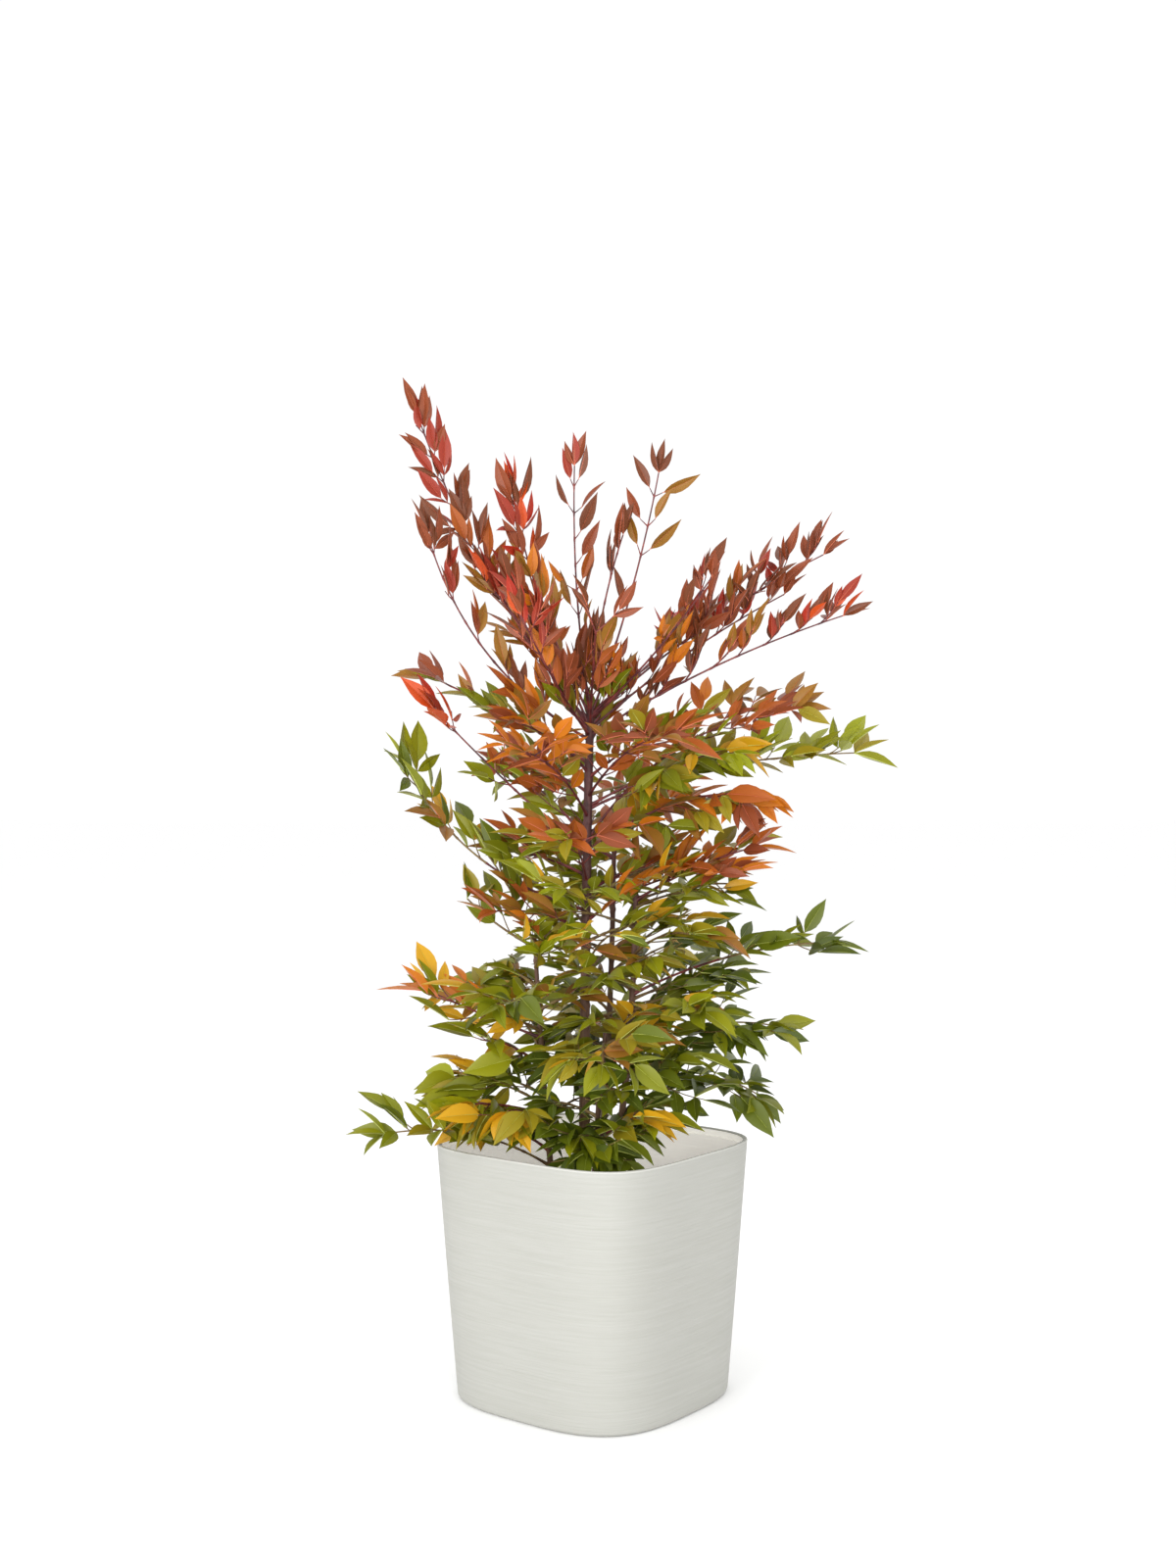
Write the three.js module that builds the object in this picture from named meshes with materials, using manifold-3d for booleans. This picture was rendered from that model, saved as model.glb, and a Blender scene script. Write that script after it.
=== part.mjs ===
// A heavenly bamboo in a rounded square planter: five canes that stand in the potting mix, the
// bare stalks that leave them, and the feathery compound leaves, each in a space of its own.
// Millimetres, +Z up. The origin is the middle of the planter's flat underside; +Y is the back.

import * as THREE from "three";
import { mergeVertices } from "three/addons/utils/BufferGeometryUtils.js";
import Module from "manifold-3d";

const wasm = await Module();
wasm.setup();

// Planter: a rounded square in plan that widens towards its rim.
const POT_HEIGHT = 256;
const POT_RIM_HALF = 132; // half the width across two flats
const POT_FOOT_HALF = 121;
const POT_RIM_SQUARENESS = 4.35; // 2 is a circle, more is squarer
const POT_FOOT_SQUARENESS = 3.2;
const POT_TURN_DEG = 52.3;
const POT_WALL = 4;
const POT_FLOOR = 6;
const POT_FOOT_ROUND = 5; // radius of the edge round the underside
const POT_LIP_DROP = 7; // depth of the thicker band inside the rim
const POT_LIP_STEP = 1.2;
const POT_WALL_RINGS = 2; // rings between the ends of each wall
const POT_SEGMENTS = 40;

// Potting mix, and the gap that is kept wherever two pieces meet.
const SOIL_TOP = 196;
const SOIL_CROWN = 4; // how far its edge lies below its flat middle
const SOIL_FLAT = 0.62; // share of its half width that is flat
const SOIL_SIDE_GAP = 0.7;
const SEAT_GAP = 0.3;

// Canes: foot and top in plan, height of the top, radii there, and how far the middle bows.
const CANES = {
  cane_main: { foot: [-9, 0], top: [-3, 2], height: 698, thick: [5.6, 4], bow: [-2, 2] },
  cane_right: { foot: [17, -8], top: [43, -2], height: 512, thick: [3.8, 2.6], bow: [6, -3] },
  cane_left: { foot: [-41, 6], top: [-60, 2], height: 462, thick: [3.3, 2], bow: [-1, -3] },
  cane_back: { foot: [6, 34], top: [22, 62], height: 560, thick: [3.8, 2.2], bow: [3, 8] },
  cane_front: { foot: [2, -36], top: [12, -52], height: 372, thick: [3.4, 2], bow: [-3, -5] },
};
const CANE_SIDES = 8;
const CANE_STEPS = 6;
const FLARE = 0.5; // share by which a cane is thicker at its foot
const FLARE_HEIGHT = 0.04; // share of its height in which that dies away

// Compound leaves, by kind: leaflet length, reach of the longest side twig, how far the two
// halves fold up like a book, how far the leaflets lift from or droop below it, in degrees.
const PLUME = { leaflet: 50, spread: 26, fold: 14, lift: 10 };
const COMB = { leaflet: 52, spread: 34, fold: 50, lift: 8 };
const SPRIG = { leaflet: 52, spread: 24, fold: 20, lift: 4 };
const TIER = { leaflet: 64, spread: 44, fold: 18, lift: -6 };
const SKIRT = { leaflet: 68, spread: 44, fold: 4, lift: -24 };

// Each leaf: name, kind, tint, cane, the height where it leaves that cane, the bearing, reach
// and height of its tip, how far its stalk arches above its chord, how far its plane is rolled
// about the stalk, and whether its bare part is a bough. Bearings turn from +X towards +Y.
const LEAVES = [
  ["plume_left_tall", PLUME, "bronze", "cane_main", 680, 174, 197, 1044, -20, -70, true],
  ["plume_left", PLUME, "bronze", "cane_main", 664, 196, 182, 914, -38, -60, false],
  ["plume_inner_left", PLUME, "scarlet", "cane_main", 689, 199, 94, 958, -14, -80, false],
  ["plume_middle", PLUME, "bronze", "cane_main", 694, 114, 44, 996, -22, -90, false],
  ["plume_right", PLUME, "bronze", "cane_main", 687, 0, 74, 980, -8, 85, false],
  ["comb_right_high", COMB, "bronze", "cane_main", 684, 6, 276, 874, 14, 10, false],
  ["comb_right_low", COMB, "scarlet", "cane_main", 668, 356, 292, 801, -6, 0, false],
  ["comb_inner_right", COMB, "bronze", "cane_main", 686, 330, 158, 856, -10, 30, false],
  ["plume_front", COMB, "bronze", "cane_main", 678, 272, 182, 816, 10, 0, false],
  ["plume_front_left", COMB, "scarlet", "cane_main", 668, 241, 170, 810, -8, -10, false],
  ["plume_back_left", COMB, "bronze", "cane_main", 680, 125, 215, 866, -8, 0, false],
  ["plume_back_right", COMB, "scarlet", "cane_main", 676, 52, 236, 822, 8, 0, false],
  ["left_scarlet", TIER, "scarlet", "cane_main", 548, 189, 197, 732, -5, -25, true],
  ["left_olive", SPRIG, "olive", "cane_main", 640, 169, 219, 750, 6, -20, false],
  ["left_green", SPRIG, "green", "cane_main", 490, 177, 214, 692, -40, -30, true],
  ["left_lime", SPRIG, "lime", "cane_left", 452, 175, 170, 550, -10, -40, false],
  ["left_amber", TIER, "orange", "cane_main", 468, 205, 163, 480, 18, -20, false],
  ["right_bronze", TIER, "bronze", "cane_main", 562, 3, 259, 698, 42, 25, true],
  ["right_lime", SPRIG, "lime", "cane_main", 608, 9, 328, 652, 12, 15, false],
  ["right_orange", TIER, "orange", "cane_main", 544, 348, 222, 598, 34, 20, false],
  ["right_ember", TIER, "orange", "cane_main", 478, 337, 205, 525, 27, 10, false],
  ["front_ember_left", TIER, "orange", "cane_main", 585, 248, 218, 650, 20, 0, false],
  ["front_orange", TIER, "orange", "cane_main", 520, 262, 212, 564, 20, 0, false],
  ["front_bronze_right", TIER, "bronze", "cane_main", 606, 292, 224, 662, 20, 0, false],
  ["inner_bronze_left", TIER, "bronze", "cane_main", 630, 219, 148, 684, 16, 0, false],
  ["inner_orange_right", TIER, "orange", "cane_main", 625, 325, 140, 676, 12, 0, false],
  ["inner_green_right", SKIRT, "green", "cane_right", 446, 316, 172, 462, 18, 0, false],
  ["back_olive_left", TIER, "olive", "cane_main", 560, 128, 236, 650, 20, 0, false],
  ["back_orange_right", TIER, "orange", "cane_back", 550, 62, 246, 640, 16, 0, false],
  ["back_lime", TIER, "lime", "cane_main", 505, 98, 214, 548, 20, 0, false],
  ["right_green", TIER, "green", "cane_right", 500, 9, 222, 497, 18, 20, false],
  ["right_green_far", SPRIG, "deep", "cane_right", 405, 359, 289, 457, 18, 15, true],
  ["right_green_low", SKIRT, "deep", "cane_right", 345, 2, 236, 356, 25, 20, false],
  ["right_green_foot", SKIRT, "deep", "cane_right", 300, 12, 212, 262, 36, 10, false],
  ["front_green_middle", SKIRT, "green", "cane_main", 430, 280, 206, 476, 18, 0, false],
  ["front_green_right", SKIRT, "green", "cane_right", 372, 316, 192, 384, 22, 0, false],
  ["front_green_low", SKIRT, "green", "cane_front", 360, 272, 198, 330, 18, 0, false],
  ["front_green_left", SKIRT, "green", "cane_left", 385, 233, 186, 396, 16, 0, false],
  ["left_ember_low", TIER, "orange", "cane_left", 360, 184, 219, 434, -2, -15, false],
  ["left_amber_low", SKIRT, "amber", "cane_left", 330, 200, 178, 371, 14, -20, false],
  ["left_skirt", SKIRT, "lime", "cane_left", 290, 187, 202, 311, 20, -15, false],
  ["left_far_skirt", SPRIG, "green", "cane_left", 228, 202, 270, 268, 26, -20, false],
  ["front_left_skirt", SKIRT, "amber", "cane_left", 262, 230, 172, 285, 24, 0, false],
  ["front_skirt", SKIRT, "deep", "cane_front", 248, 259, 156, 262, 24, 0, false],
  ["front_right_skirt", SKIRT, "amber", "cane_front", 262, 311, 146, 284, 20, 0, false],
  ["back_green_left", SKIRT, "green", "cane_left", 345, 134, 222, 404, 24, 0, false],
  ["back_green_right", SKIRT, "deep", "cane_back", 410, 46, 238, 436, 24, 0, false],
  ["back_green_low", SKIRT, "green", "cane_back", 320, 90, 226, 336, 30, 0, false],
];
const BARE_SHARE = 0.22; // of the stalk, before its first side twigs
const BOUGH_SHARE = 0.36; // the same where that part is a bough
const STALK_RADIUS = [2, 1.2]; // at the cane and at the tip
const BOUGH_SIDES = 6;
const BOUGH_STEPS = 4;
const TWIG_SIDES = 3;
const RACHIS_STEPS = 3;
const TWIG_RADIUS = [0.9, 0.8];
const PAIR_SPACING = 68; // between pairs of side twigs
const FIRST_PAIR_AT = 0.2; // share of that spacing before the first pair
const TWIG_OPENING_DEG = 52; // between a side twig and the rachis
const TWIG_TAPER = 0.45; // length of the last side twigs as a share of the first
const LEAFLET_OPENING_DEG = 40;
const LEAFLET_PAIR_AT = 0.5; // share of the twig where its pair of leaflets stands
const LEAFLET_WIDTH = 0.38; // share of its length
const LEAFLET_THICKNESS = 0.026;
const LEAFLET_WIDEST = 0.42; // share of its length from the root
const LEAFLET_CREASE = 0.05; // how far its edges rise above its midrib, as a share of length
const PAIR_BETWEEN = 0.5; // share of that spacing beyond them where two leaflets stand
const END_SINK = 0.8; // depth of an end leaflet's root in the end of its twig
const JITTER_DEG = 14;
const ROLL_JITTER_DEG = 30;
const LIFT_JITTER_DEG = 22;
const LENGTH_JITTER = 0.12;
const SMALL_LEAFLET = 0.7; // size of a leaflet that stands where a full one has no room
const FIRST_SEED = 101;
const SEED_STEP = 7919;

// Room that a twig or leaflet keeps to the next leaf's space, to limbs, and to the planter.
const SPACE_MARGIN = 1;
const LIMB_MARGIN = 4;
const POT_MARGIN = 4;
const SOIL_MARGIN = 6;
const AXIS_STEPS = 14;
const EDGE_PLACES = [0, 0.25, 0.5, 0.75]; // where an edge of its cut end is tested, as shares
const START_STEP = 0.0005; // steps in which the cut end of a stalk is moved clear of its cane
const SMALLEST_EDGE = 0.02; // edges left by joining that are shorter are closed up

const COLOURS = {
  pot: 0xdcdcd4,
  soil: 0x4a3628,
  cane: 0x5a3434,
  stalk: 0x6e3632,
  scarlet: 0xb2422c,
  bronze: 0x8a4a3c,
  orange: 0xc87828,
  amber: 0xc8a022,
  olive: 0x74712c,
  lime: 0x7c9a26,
  green: 0x557823,
  deep: 0x3c552d,
};

const UP = new THREE.Vector3(0, 0, 1);
const FRONT = new THREE.Vector3(0, -1, 0);
const toRadians = THREE.MathUtils.degToRad;
const mix = THREE.MathUtils.lerp;

// Repeatable numbers from -1 to 1, by a Lehmer generator.
function dice(seed) {
  let state = seed;
  return () => {
    state = (state * 48271) % 2147483647;
    return (2 * state) / 2147483647 - 1;
  };
}

function solidOf(geometry) {
  const bare = geometry.clone();
  bare.deleteAttribute("normal");
  bare.deleteAttribute("uv");
  const merged = mergeVertices(bare, 1e-4);
  return new wasm.Manifold(
    new wasm.Mesh({
      numProp: 3,
      vertProperties: merged.attributes.position.array,
      triVerts: new Uint32Array(merged.index.array),
    }),
  );
}

// The largest single body of a solid: loose scraps and sealed hollows are left behind.
function wholeBody(solid) {
  const bodies = solid.decompose();
  return bodies.reduce((best, body) => (body.volume() > best.volume() ? body : best));
}

// Whether every corner of a solid has a place of its own. Two corners share one where the
// solid only touches itself along an edge, which leaves it open once it is written out.
function cornersApart(solid) {
  const place = solid.getMesh().vertProperties;
  const places = new Set();
  for (let i = 0; i < place.length; i += 3)
    places.add(Array.from(place.slice(i, i + 3), (value) => value.toFixed(3)).join());
  return places.size === place.length / 3;
}

function geometryOf(solid) {
  const mesh = solid.getMesh();
  const geometry = new THREE.BufferGeometry();
  geometry.setAttribute("position", new THREE.BufferAttribute(mesh.vertProperties, 3));
  geometry.setIndex(new THREE.BufferAttribute(mesh.triVerts, 1));
  geometry.computeVertexNormals();
  return geometry;
}

// --- planter and potting mix ---

// Half the planter's width across the flats, and its squareness, at a height.
function potHalf(height) {
  return mix(POT_FOOT_HALF, POT_RIM_HALF, height / POT_HEIGHT);
}

function potSquareness(height) {
  return mix(POT_FOOT_SQUARENESS, POT_RIM_SQUARENESS, height / POT_HEIGHT);
}

// How much further out the planter's rounded square reaches along an angle than at its flats.
function squareness(angle, height) {
  const n = potSquareness(height);
  const turned = angle - toRadians(POT_TURN_DEG);
  return (Math.abs(Math.cos(turned)) ** n + Math.abs(Math.sin(turned)) ** n) ** (-1 / n);
}

// A turned profile of [half width, height] pairs, drawn out to the planter's rounded square.
function potShape(profile) {
  const points = profile.map(([half, height]) => new THREE.Vector2(half, height));
  const geometry = new THREE.LatheGeometry(points, POT_SEGMENTS);
  geometry.rotateX(Math.PI / 2);
  const place = geometry.attributes.position;
  for (let i = 0; i < place.count; i++) {
    const [x, y, z] = [place.getX(i), place.getY(i), place.getZ(i)];
    const reach = squareness(Math.atan2(y, x), z);
    place.setXY(i, x * reach, y * reach);
  }
  return geometry;
}

// A point of the wall's profile, and the points between two heights, inset from the outside.
function wallAt(height, inset) {
  return [potHalf(height) - inset, height];
}

function wallBetween(from, to, inset) {
  const steps = POT_WALL_RINGS + 1;
  return Array.from({ length: POT_WALL_RINGS }, (_, i) =>
    wallAt(mix(from, to, (i + 1) / steps), inset),
  );
}

function potGeometry() {
  const lipFoot = POT_HEIGHT - POT_LIP_DROP;
  const rimRound = POT_WALL / 4;
  const thin = POT_WALL - POT_LIP_STEP;
  return potShape([
    [0, 0],
    wallAt(0, POT_FOOT_ROUND),
    wallAt(POT_FOOT_ROUND * 0.3, POT_FOOT_ROUND * 0.3),
    wallAt(POT_FOOT_ROUND, 0),
    ...wallBetween(POT_FOOT_ROUND, POT_HEIGHT - rimRound, 0),
    wallAt(POT_HEIGHT - rimRound, 0),
    wallAt(POT_HEIGHT, rimRound),
    wallAt(POT_HEIGHT, POT_WALL - rimRound),
    wallAt(POT_HEIGHT - rimRound, POT_WALL),
    wallAt(lipFoot, POT_WALL),
    wallAt(lipFoot - POT_LIP_STEP, thin),
    ...wallBetween(lipFoot - POT_LIP_STEP, POT_FLOOR, thin),
    wallAt(POT_FLOOR, thin),
    [0, POT_FLOOR],
  ]);
}

// The mix fills the planter to its top, which is flat where the canes stand.
function soilGeometry() {
  const inset = POT_WALL - POT_LIP_STEP + SOIL_SIDE_GAP;
  const foot = POT_FLOOR + SEAT_GAP;
  const edge = SOIL_TOP - SOIL_CROWN;
  return potShape([
    [0, foot],
    wallAt(foot, inset),
    ...wallBetween(foot, edge, inset),
    wallAt(edge, inset),
    [potHalf(SOIL_TOP) * SOIL_FLAT, SOIL_TOP],
    [0, SOIL_TOP],
  ]);
}

// --- limbs ---

// The directions across a limb and to the first corner of its section, which is square to it.
function sectionFrame(along, facing) {
  const across = new THREE.Vector3().crossVectors(facing, along).normalize();
  return { across, corner: new THREE.Vector3().crossVectors(across, along) };
}

// A tapered limb along part of a curve: a cylinder whose rings are set square to the curve.
// A cane's first ring is level, as its cut foot is.
function limbGeometry(curve, [from, to], radiusAt, { sides, steps, facing, cut = false }) {
  const geometry = new THREE.CylinderGeometry(1, 1, 1, sides, steps);
  const place = geometry.attributes.position;
  for (let i = 0; i < place.count; i++) {
    const share = place.getY(i) + 0.5;
    const along = cut && share < 0.5 / steps ? UP : curve.getTangent(mix(from, to, share));
    const { across, corner } = sectionFrame(along, facing);
    const radius = radiusAt(share);
    const point = curve
      .getPoint(mix(from, to, share))
      .addScaledVector(across, place.getX(i) * radius)
      .addScaledVector(corner, place.getZ(i) * radius);
    place.setXYZ(i, point.x, point.y, point.z);
  }
  return geometry;
}

function caneCurve({ foot, top, height, bow }) {
  const start = SOIL_TOP + SEAT_GAP;
  return new THREE.QuadraticBezierCurve3(
    new THREE.Vector3(...foot, start),
    new THREE.Vector3(
      (foot[0] + top[0]) / 2 + 2 * bow[0],
      (foot[1] + top[1]) / 2 + 2 * bow[1],
      (start + height) / 2,
    ),
    new THREE.Vector3(...top, height),
  );
}

function caneRadius({ thick }, share) {
  return mix(thick[0], thick[1], share) * (1 + FLARE * Math.exp(-share / FLARE_HEIGHT));
}

// The share of a cane's height at a height in the planter's frame.
function caneShare({ height }, z) {
  return (z - SOIL_TOP - SEAT_GAP) / (height - SOIL_TOP - SEAT_GAP);
}

// The whole stalk of a compound leaf, from the middle of its cane to its tip. It bows in the
// upright plane that holds its chord.
function stalkCurve({ cane, from, bearing, reach, height, bow }) {
  const start = caneCurve(CANES[cane]).getPoint(caneShare(CANES[cane], from));
  const angle = toRadians(bearing);
  const tip = new THREE.Vector3(reach * Math.cos(angle), reach * Math.sin(angle), height);
  const chord = new THREE.Vector3().subVectors(tip, start).normalize();
  const side = new THREE.Vector3().crossVectors(UP, chord).normalize();
  const arch = new THREE.Vector3().crossVectors(chord, side);
  const middle = start.clone().lerp(tip, 0.5).addScaledVector(arch, 2 * bow);
  return new THREE.QuadraticBezierCurve3(start, middle, tip);
}

function stalkRadius(share) {
  return mix(STALK_RADIUS[0], STALK_RADIUS[1], share);
}

// How far a point lies outside a cane, from the flat side or the top that it faces.
function outsideCane(cane, point) {
  const share = Math.min(1, caneShare(cane, point.z));
  const offset = caneCurve(cane).getPoint(share).sub(point);
  const side = (2 * Math.PI) / CANE_SIDES;
  const fromFlat = THREE.MathUtils.euclideanModulo(Math.atan2(offset.y, offset.x), side) - side / 2;
  const away = Math.hypot(offset.x, offset.y) * Math.cos(fromFlat);
  const beside = away - caneRadius(cane, share) * Math.cos(side / 2);
  return Math.hypot(Math.max(beside, 0), Math.max(point.z - cane.height, 0));
}

// Points round the cut end of a stalk: its corners, and places on the edges between them.
function endPoints(curve, share, { sides, facing }) {
  const { across, corner } = sectionFrame(curve.getTangent(share), facing);
  const corners = Array.from({ length: sides + 1 }, (_, i) => {
    const angle = (2 * Math.PI * i) / sides;
    return curve
      .getPoint(share)
      .addScaledVector(across, Math.sin(angle) * stalkRadius(share))
      .addScaledVector(corner, Math.cos(angle) * stalkRadius(share));
  });
  const edges = corners.slice(1).map((point, i) => new THREE.Line3(point, corners[i]));
  return edges.flatMap((edge) => EDGE_PLACES.map((place) => edge.at(place, new THREE.Vector3())));
}

// The share of a stalk at which its cut end stands just clear of the cane that it leaves.
function clearStart(cane, curve, shape) {
  const isClear = (point) => outsideCane(cane, point) >= SEAT_GAP;
  for (let share = 0; share < 1; share += START_STEP)
    if (endPoints(curve, share, shape).every(isClear)) return share;
  throw new Error("a stalk never leaves its cane");
}

// --- the space that each compound leaf keeps to ---

const leaves = LEAVES.map(
  ([name, kind, tint, cane, from, bearing, reach, height, bow, turn, bough]) => {
    const curve = stalkCurve({ cane, from, bearing, reach, height, bow });
    const facing = leafFrame(curve.getTangent(0.5), turn).face;
    const shape = bough ? { sides: BOUGH_SIDES, facing: UP } : { sides: TWIG_SIDES, facing };
    const start = clearStart(CANES[cane], curve, shape);
    const bare = mix(start, 1, bough ? BOUGH_SHARE : BARE_SHARE);
    const stem = bough ? bare + SEAT_GAP / curve.getLength() : start;
    const end = 1 - kind.leaflet / curve.getLength();
    return { name, kind, tint, curve, facing, start, bare, stem, end, turn, bough };
  },
);
const axes = leaves.map(({ curve }) => curve.getPoints(AXIS_STEPS));
const limbs = [
  ...Object.values(CANES).map((cane) => ({
    line: caneCurve(cane).getPoints(AXIS_STEPS),
    radius: cane.thick[0],
  })),
  ...leaves
    .filter(({ bough }) => bough)
    .map(({ curve, start, bare }) => ({
      line: Array.from({ length: AXIS_STEPS }, (_, i) =>
        curve.getPoint(mix(start, bare, i / (AXIS_STEPS - 1))),
      ),
      radius: STALK_RADIUS[0],
    })),
];

function distanceToLine(point, line) {
  const segment = new THREE.Line3();
  const foot = new THREE.Vector3();
  let nearest = Infinity;
  for (let i = 1; i < line.length; i++) {
    segment.set(line[i - 1], line[i]).closestPointToPoint(point, true, foot);
    nearest = Math.min(nearest, foot.distanceTo(point));
  }
  return nearest;
}

// A point is in a leaf's space where that leaf's own stalk is the nearest of all stalks.
function inOwnSpace(point, order) {
  const own = distanceToLine(point, axes[order]) + SPACE_MARGIN;
  return axes.every((line, other) => other === order || distanceToLine(point, line) > own);
}

function clearOfLimbs(point) {
  return limbs.every(({ line, radius }) => distanceToLine(point, line) > radius + LIMB_MARGIN);
}

function clearOfPlanter(point) {
  if (point.z > POT_HEIGHT + POT_MARGIN) return true;
  const reach = squareness(Math.atan2(point.y, point.x), point.z);
  const wallMiddle = (potHalf(point.z) - POT_WALL / 2) * reach;
  const fromWall = Math.hypot(point.x, point.y) - wallMiddle;
  if (Math.abs(fromWall) < POT_WALL / 2 + POT_MARGIN) return false;
  return fromWall > 0 || point.z > SOIL_TOP + SOIL_MARGIN;
}

function fits(points, order) {
  return points.every(
    (point) => clearOfPlanter(point) && clearOfLimbs(point) && inOwnSpace(point, order),
  );
}

// --- twigs and leaflets ---

// A leaflet as a creased kite of eight faces, whose root is sunk to the axis of its twig.
function leafletGeometry(root, along, facing, length) {
  const geometry = new THREE.OctahedronGeometry(0.5);
  geometry.scale(1, LEAFLET_WIDTH, LEAFLET_THICKNESS);
  const place = geometry.attributes.position;
  for (let i = 0; i < place.count; i++) {
    const atEnd = Math.abs(place.getX(i)) > 0.25;
    if (!atEnd) place.setX(i, LEAFLET_WIDEST - 0.5);
    if (Math.abs(place.getY(i)) > 1e-6) place.setZ(i, place.getZ(i) + LEAFLET_CREASE);
  }
  geometry.translate(0.5, 0, 0);
  geometry.scale(length, length, length);
  const across = new THREE.Vector3().crossVectors(facing, along).normalize();
  const face = new THREE.Vector3().crossVectors(along, across);
  geometry.applyMatrix4(new THREE.Matrix4().makeBasis(along, across, face));
  geometry.translate(root.x, root.y, root.z);
  return geometry;
}

// Points of a leaflet that are tested against its neighbours: its midrib and both edges.
function leafletPoints(root, along, facing, length) {
  const across = new THREE.Vector3().crossVectors(facing, along).normalize();
  const half = (length * LEAFLET_WIDTH) / 2;
  const midrib = [0.1, 0.3, 0.5, 0.7, 0.85, 1].map((share) =>
    root.clone().addScaledVector(along, length * share),
  );
  const edges = [-1, 1].map((side) =>
    root
      .clone()
      .addScaledVector(along, length * LEAFLET_WIDEST)
      .addScaledVector(across, side * half),
  );
  return [...midrib, ...edges];
}

// The directions of a compound leaf at a place on its rachis: along it, out to its left side,
// and out of its plane, rolled about the rachis.
function leafFrame(along, turn) {
  const side = new THREE.Vector3().crossVectors(UP, along).normalize();
  const face = new THREE.Vector3().crossVectors(along, side);
  side.applyAxisAngle(along, toRadians(turn));
  face.applyAxisAngle(along, toRadians(turn));
  return { along, side, face };
}

// The same on a side twig, whose leaflets keep to the plane of the leaf.
function frameOn(along, facing) {
  const side = new THREE.Vector3().crossVectors(facing, along).normalize();
  return { along, side, face: new THREE.Vector3().crossVectors(along, side) };
}

// A direction that opens from the rachis to one side, by an angle, with the half folded up.
function opened({ along, side, face }, hand, opening, fold) {
  const out = side
    .clone()
    .multiplyScalar(hand * Math.cos(fold))
    .addScaledVector(face, Math.sin(fold));
  return along
    .clone()
    .multiplyScalar(Math.cos(opening))
    .addScaledVector(out, Math.sin(opening));
}

// One compound leaf: a rachis with pairs of side twigs, and an end leaflet and a pair on each.
function growLeaf({ kind, curve, facing, bare, stem, end, turn }, order, seed) {
  const random = dice(seed);
  const jitter = () => toRadians(JITTER_DEG * random());
  const fold = toRadians(kind.fold);
  const rachisRadius = (share) => stalkRadius(mix(stem, end, share));
  const rachis = { sides: TWIG_SIDES, steps: RACHIS_STEPS, facing };
  const pieces = [limbGeometry(curve, [stem, end], rachisRadius, rachis)];

  function addLeaflet(root, heading, face, size) {
    const rise = Math.sin(toRadians(kind.lift + LIFT_JITTER_DEG * random()));
    const along = heading.clone().addScaledVector(UP, rise).normalize();
    const rolled = face.clone().applyAxisAngle(along, toRadians(ROLL_JITTER_DEG * random()));
    const full = kind.leaflet * size * (1 + LENGTH_JITTER * random());
    for (const length of [full, full * SMALL_LEAFLET]) {
      if (!fits(leafletPoints(root, along, rolled, length), order)) continue;
      pieces.push(leafletGeometry(root, along, rolled, length));
      return;
    }
  }

  function addPair(root, frame, size) {
    for (const hand of [-1, 1]) {
      const opening = toRadians(LEAFLET_OPENING_DEG) + jitter();
      addLeaflet(root, opened(frame, hand, opening, fold), frame.face, size);
    }
  }

  function addTwig(root, frame, hand, reach) {
    const heading = opened(frame, hand, toRadians(TWIG_OPENING_DEG) + jitter(), fold);
    const tip = root.clone().addScaledVector(heading, reach);
    if (!fits([root.clone().lerp(tip, 0.5), tip], order)) return;
    const twig = new THREE.LineCurve3(root, tip);
    const twigRadius = (share) => mix(TWIG_RADIUS[0], TWIG_RADIUS[1], share);
    const twigFrame = frameOn(heading, frame.face);
    const shape = { sides: TWIG_SIDES, steps: 1, facing: twigFrame.face };
    pieces.push(limbGeometry(twig, [0, 1], twigRadius, shape));
    addLeaflet(tip.addScaledVector(heading, -END_SINK), heading, frame.face, 1);
    addPair(twig.getPoint(LEAFLET_PAIR_AT), twigFrame, 0.85);
  }

  const pairs = Math.max(1, Math.round((curve.getLength() * (end - bare)) / PAIR_SPACING));
  for (let pair = 0; pair < pairs; pair++) {
    const share = mix(bare, end, (pair + FIRST_PAIR_AT) / pairs);
    const frame = leafFrame(curve.getTangent(share), turn + JITTER_DEG * random());
    const reach = kind.spread * mix(1, TWIG_TAPER, pair / pairs);
    for (const hand of [-1, 1]) addTwig(curve.getPoint(share), frame, hand, reach);
    addPair(curve.getPoint(share + PAIR_BETWEEN * ((end - bare) / pairs)), frame, 0.9);
  }
  const endFrame = leafFrame(curve.getTangent(end), turn);
  const endRoot = curve.getPoint(end).addScaledVector(endFrame.along, -END_SINK);
  addLeaflet(endRoot, endFrame.along, endFrame.face, 1);

  return wholeBody(wasm.Manifold.union(pieces.map(solidOf)).simplify(SMALLEST_EDGE));
}

// The first leaf that comes out whole, from seeds that no other leaf uses.
function leafGeometry(leaf, order) {
  for (let seed = FIRST_SEED + SEED_STEP * order; ; seed++) {
    const solid = growLeaf(leaf, order, seed);
    if (cornersApart(solid)) return geometryOf(solid);
  }
}

// --- assembly ---

function finish(colour, roughness) {
  return new THREE.MeshStandardMaterial({ color: COLOURS[colour], roughness, metalness: 0 });
}

const plant = new THREE.Group();

function add(name, geometry, material) {
  const mesh = new THREE.Mesh(geometry, material);
  mesh.name = name;
  plant.add(mesh);
}

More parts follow.
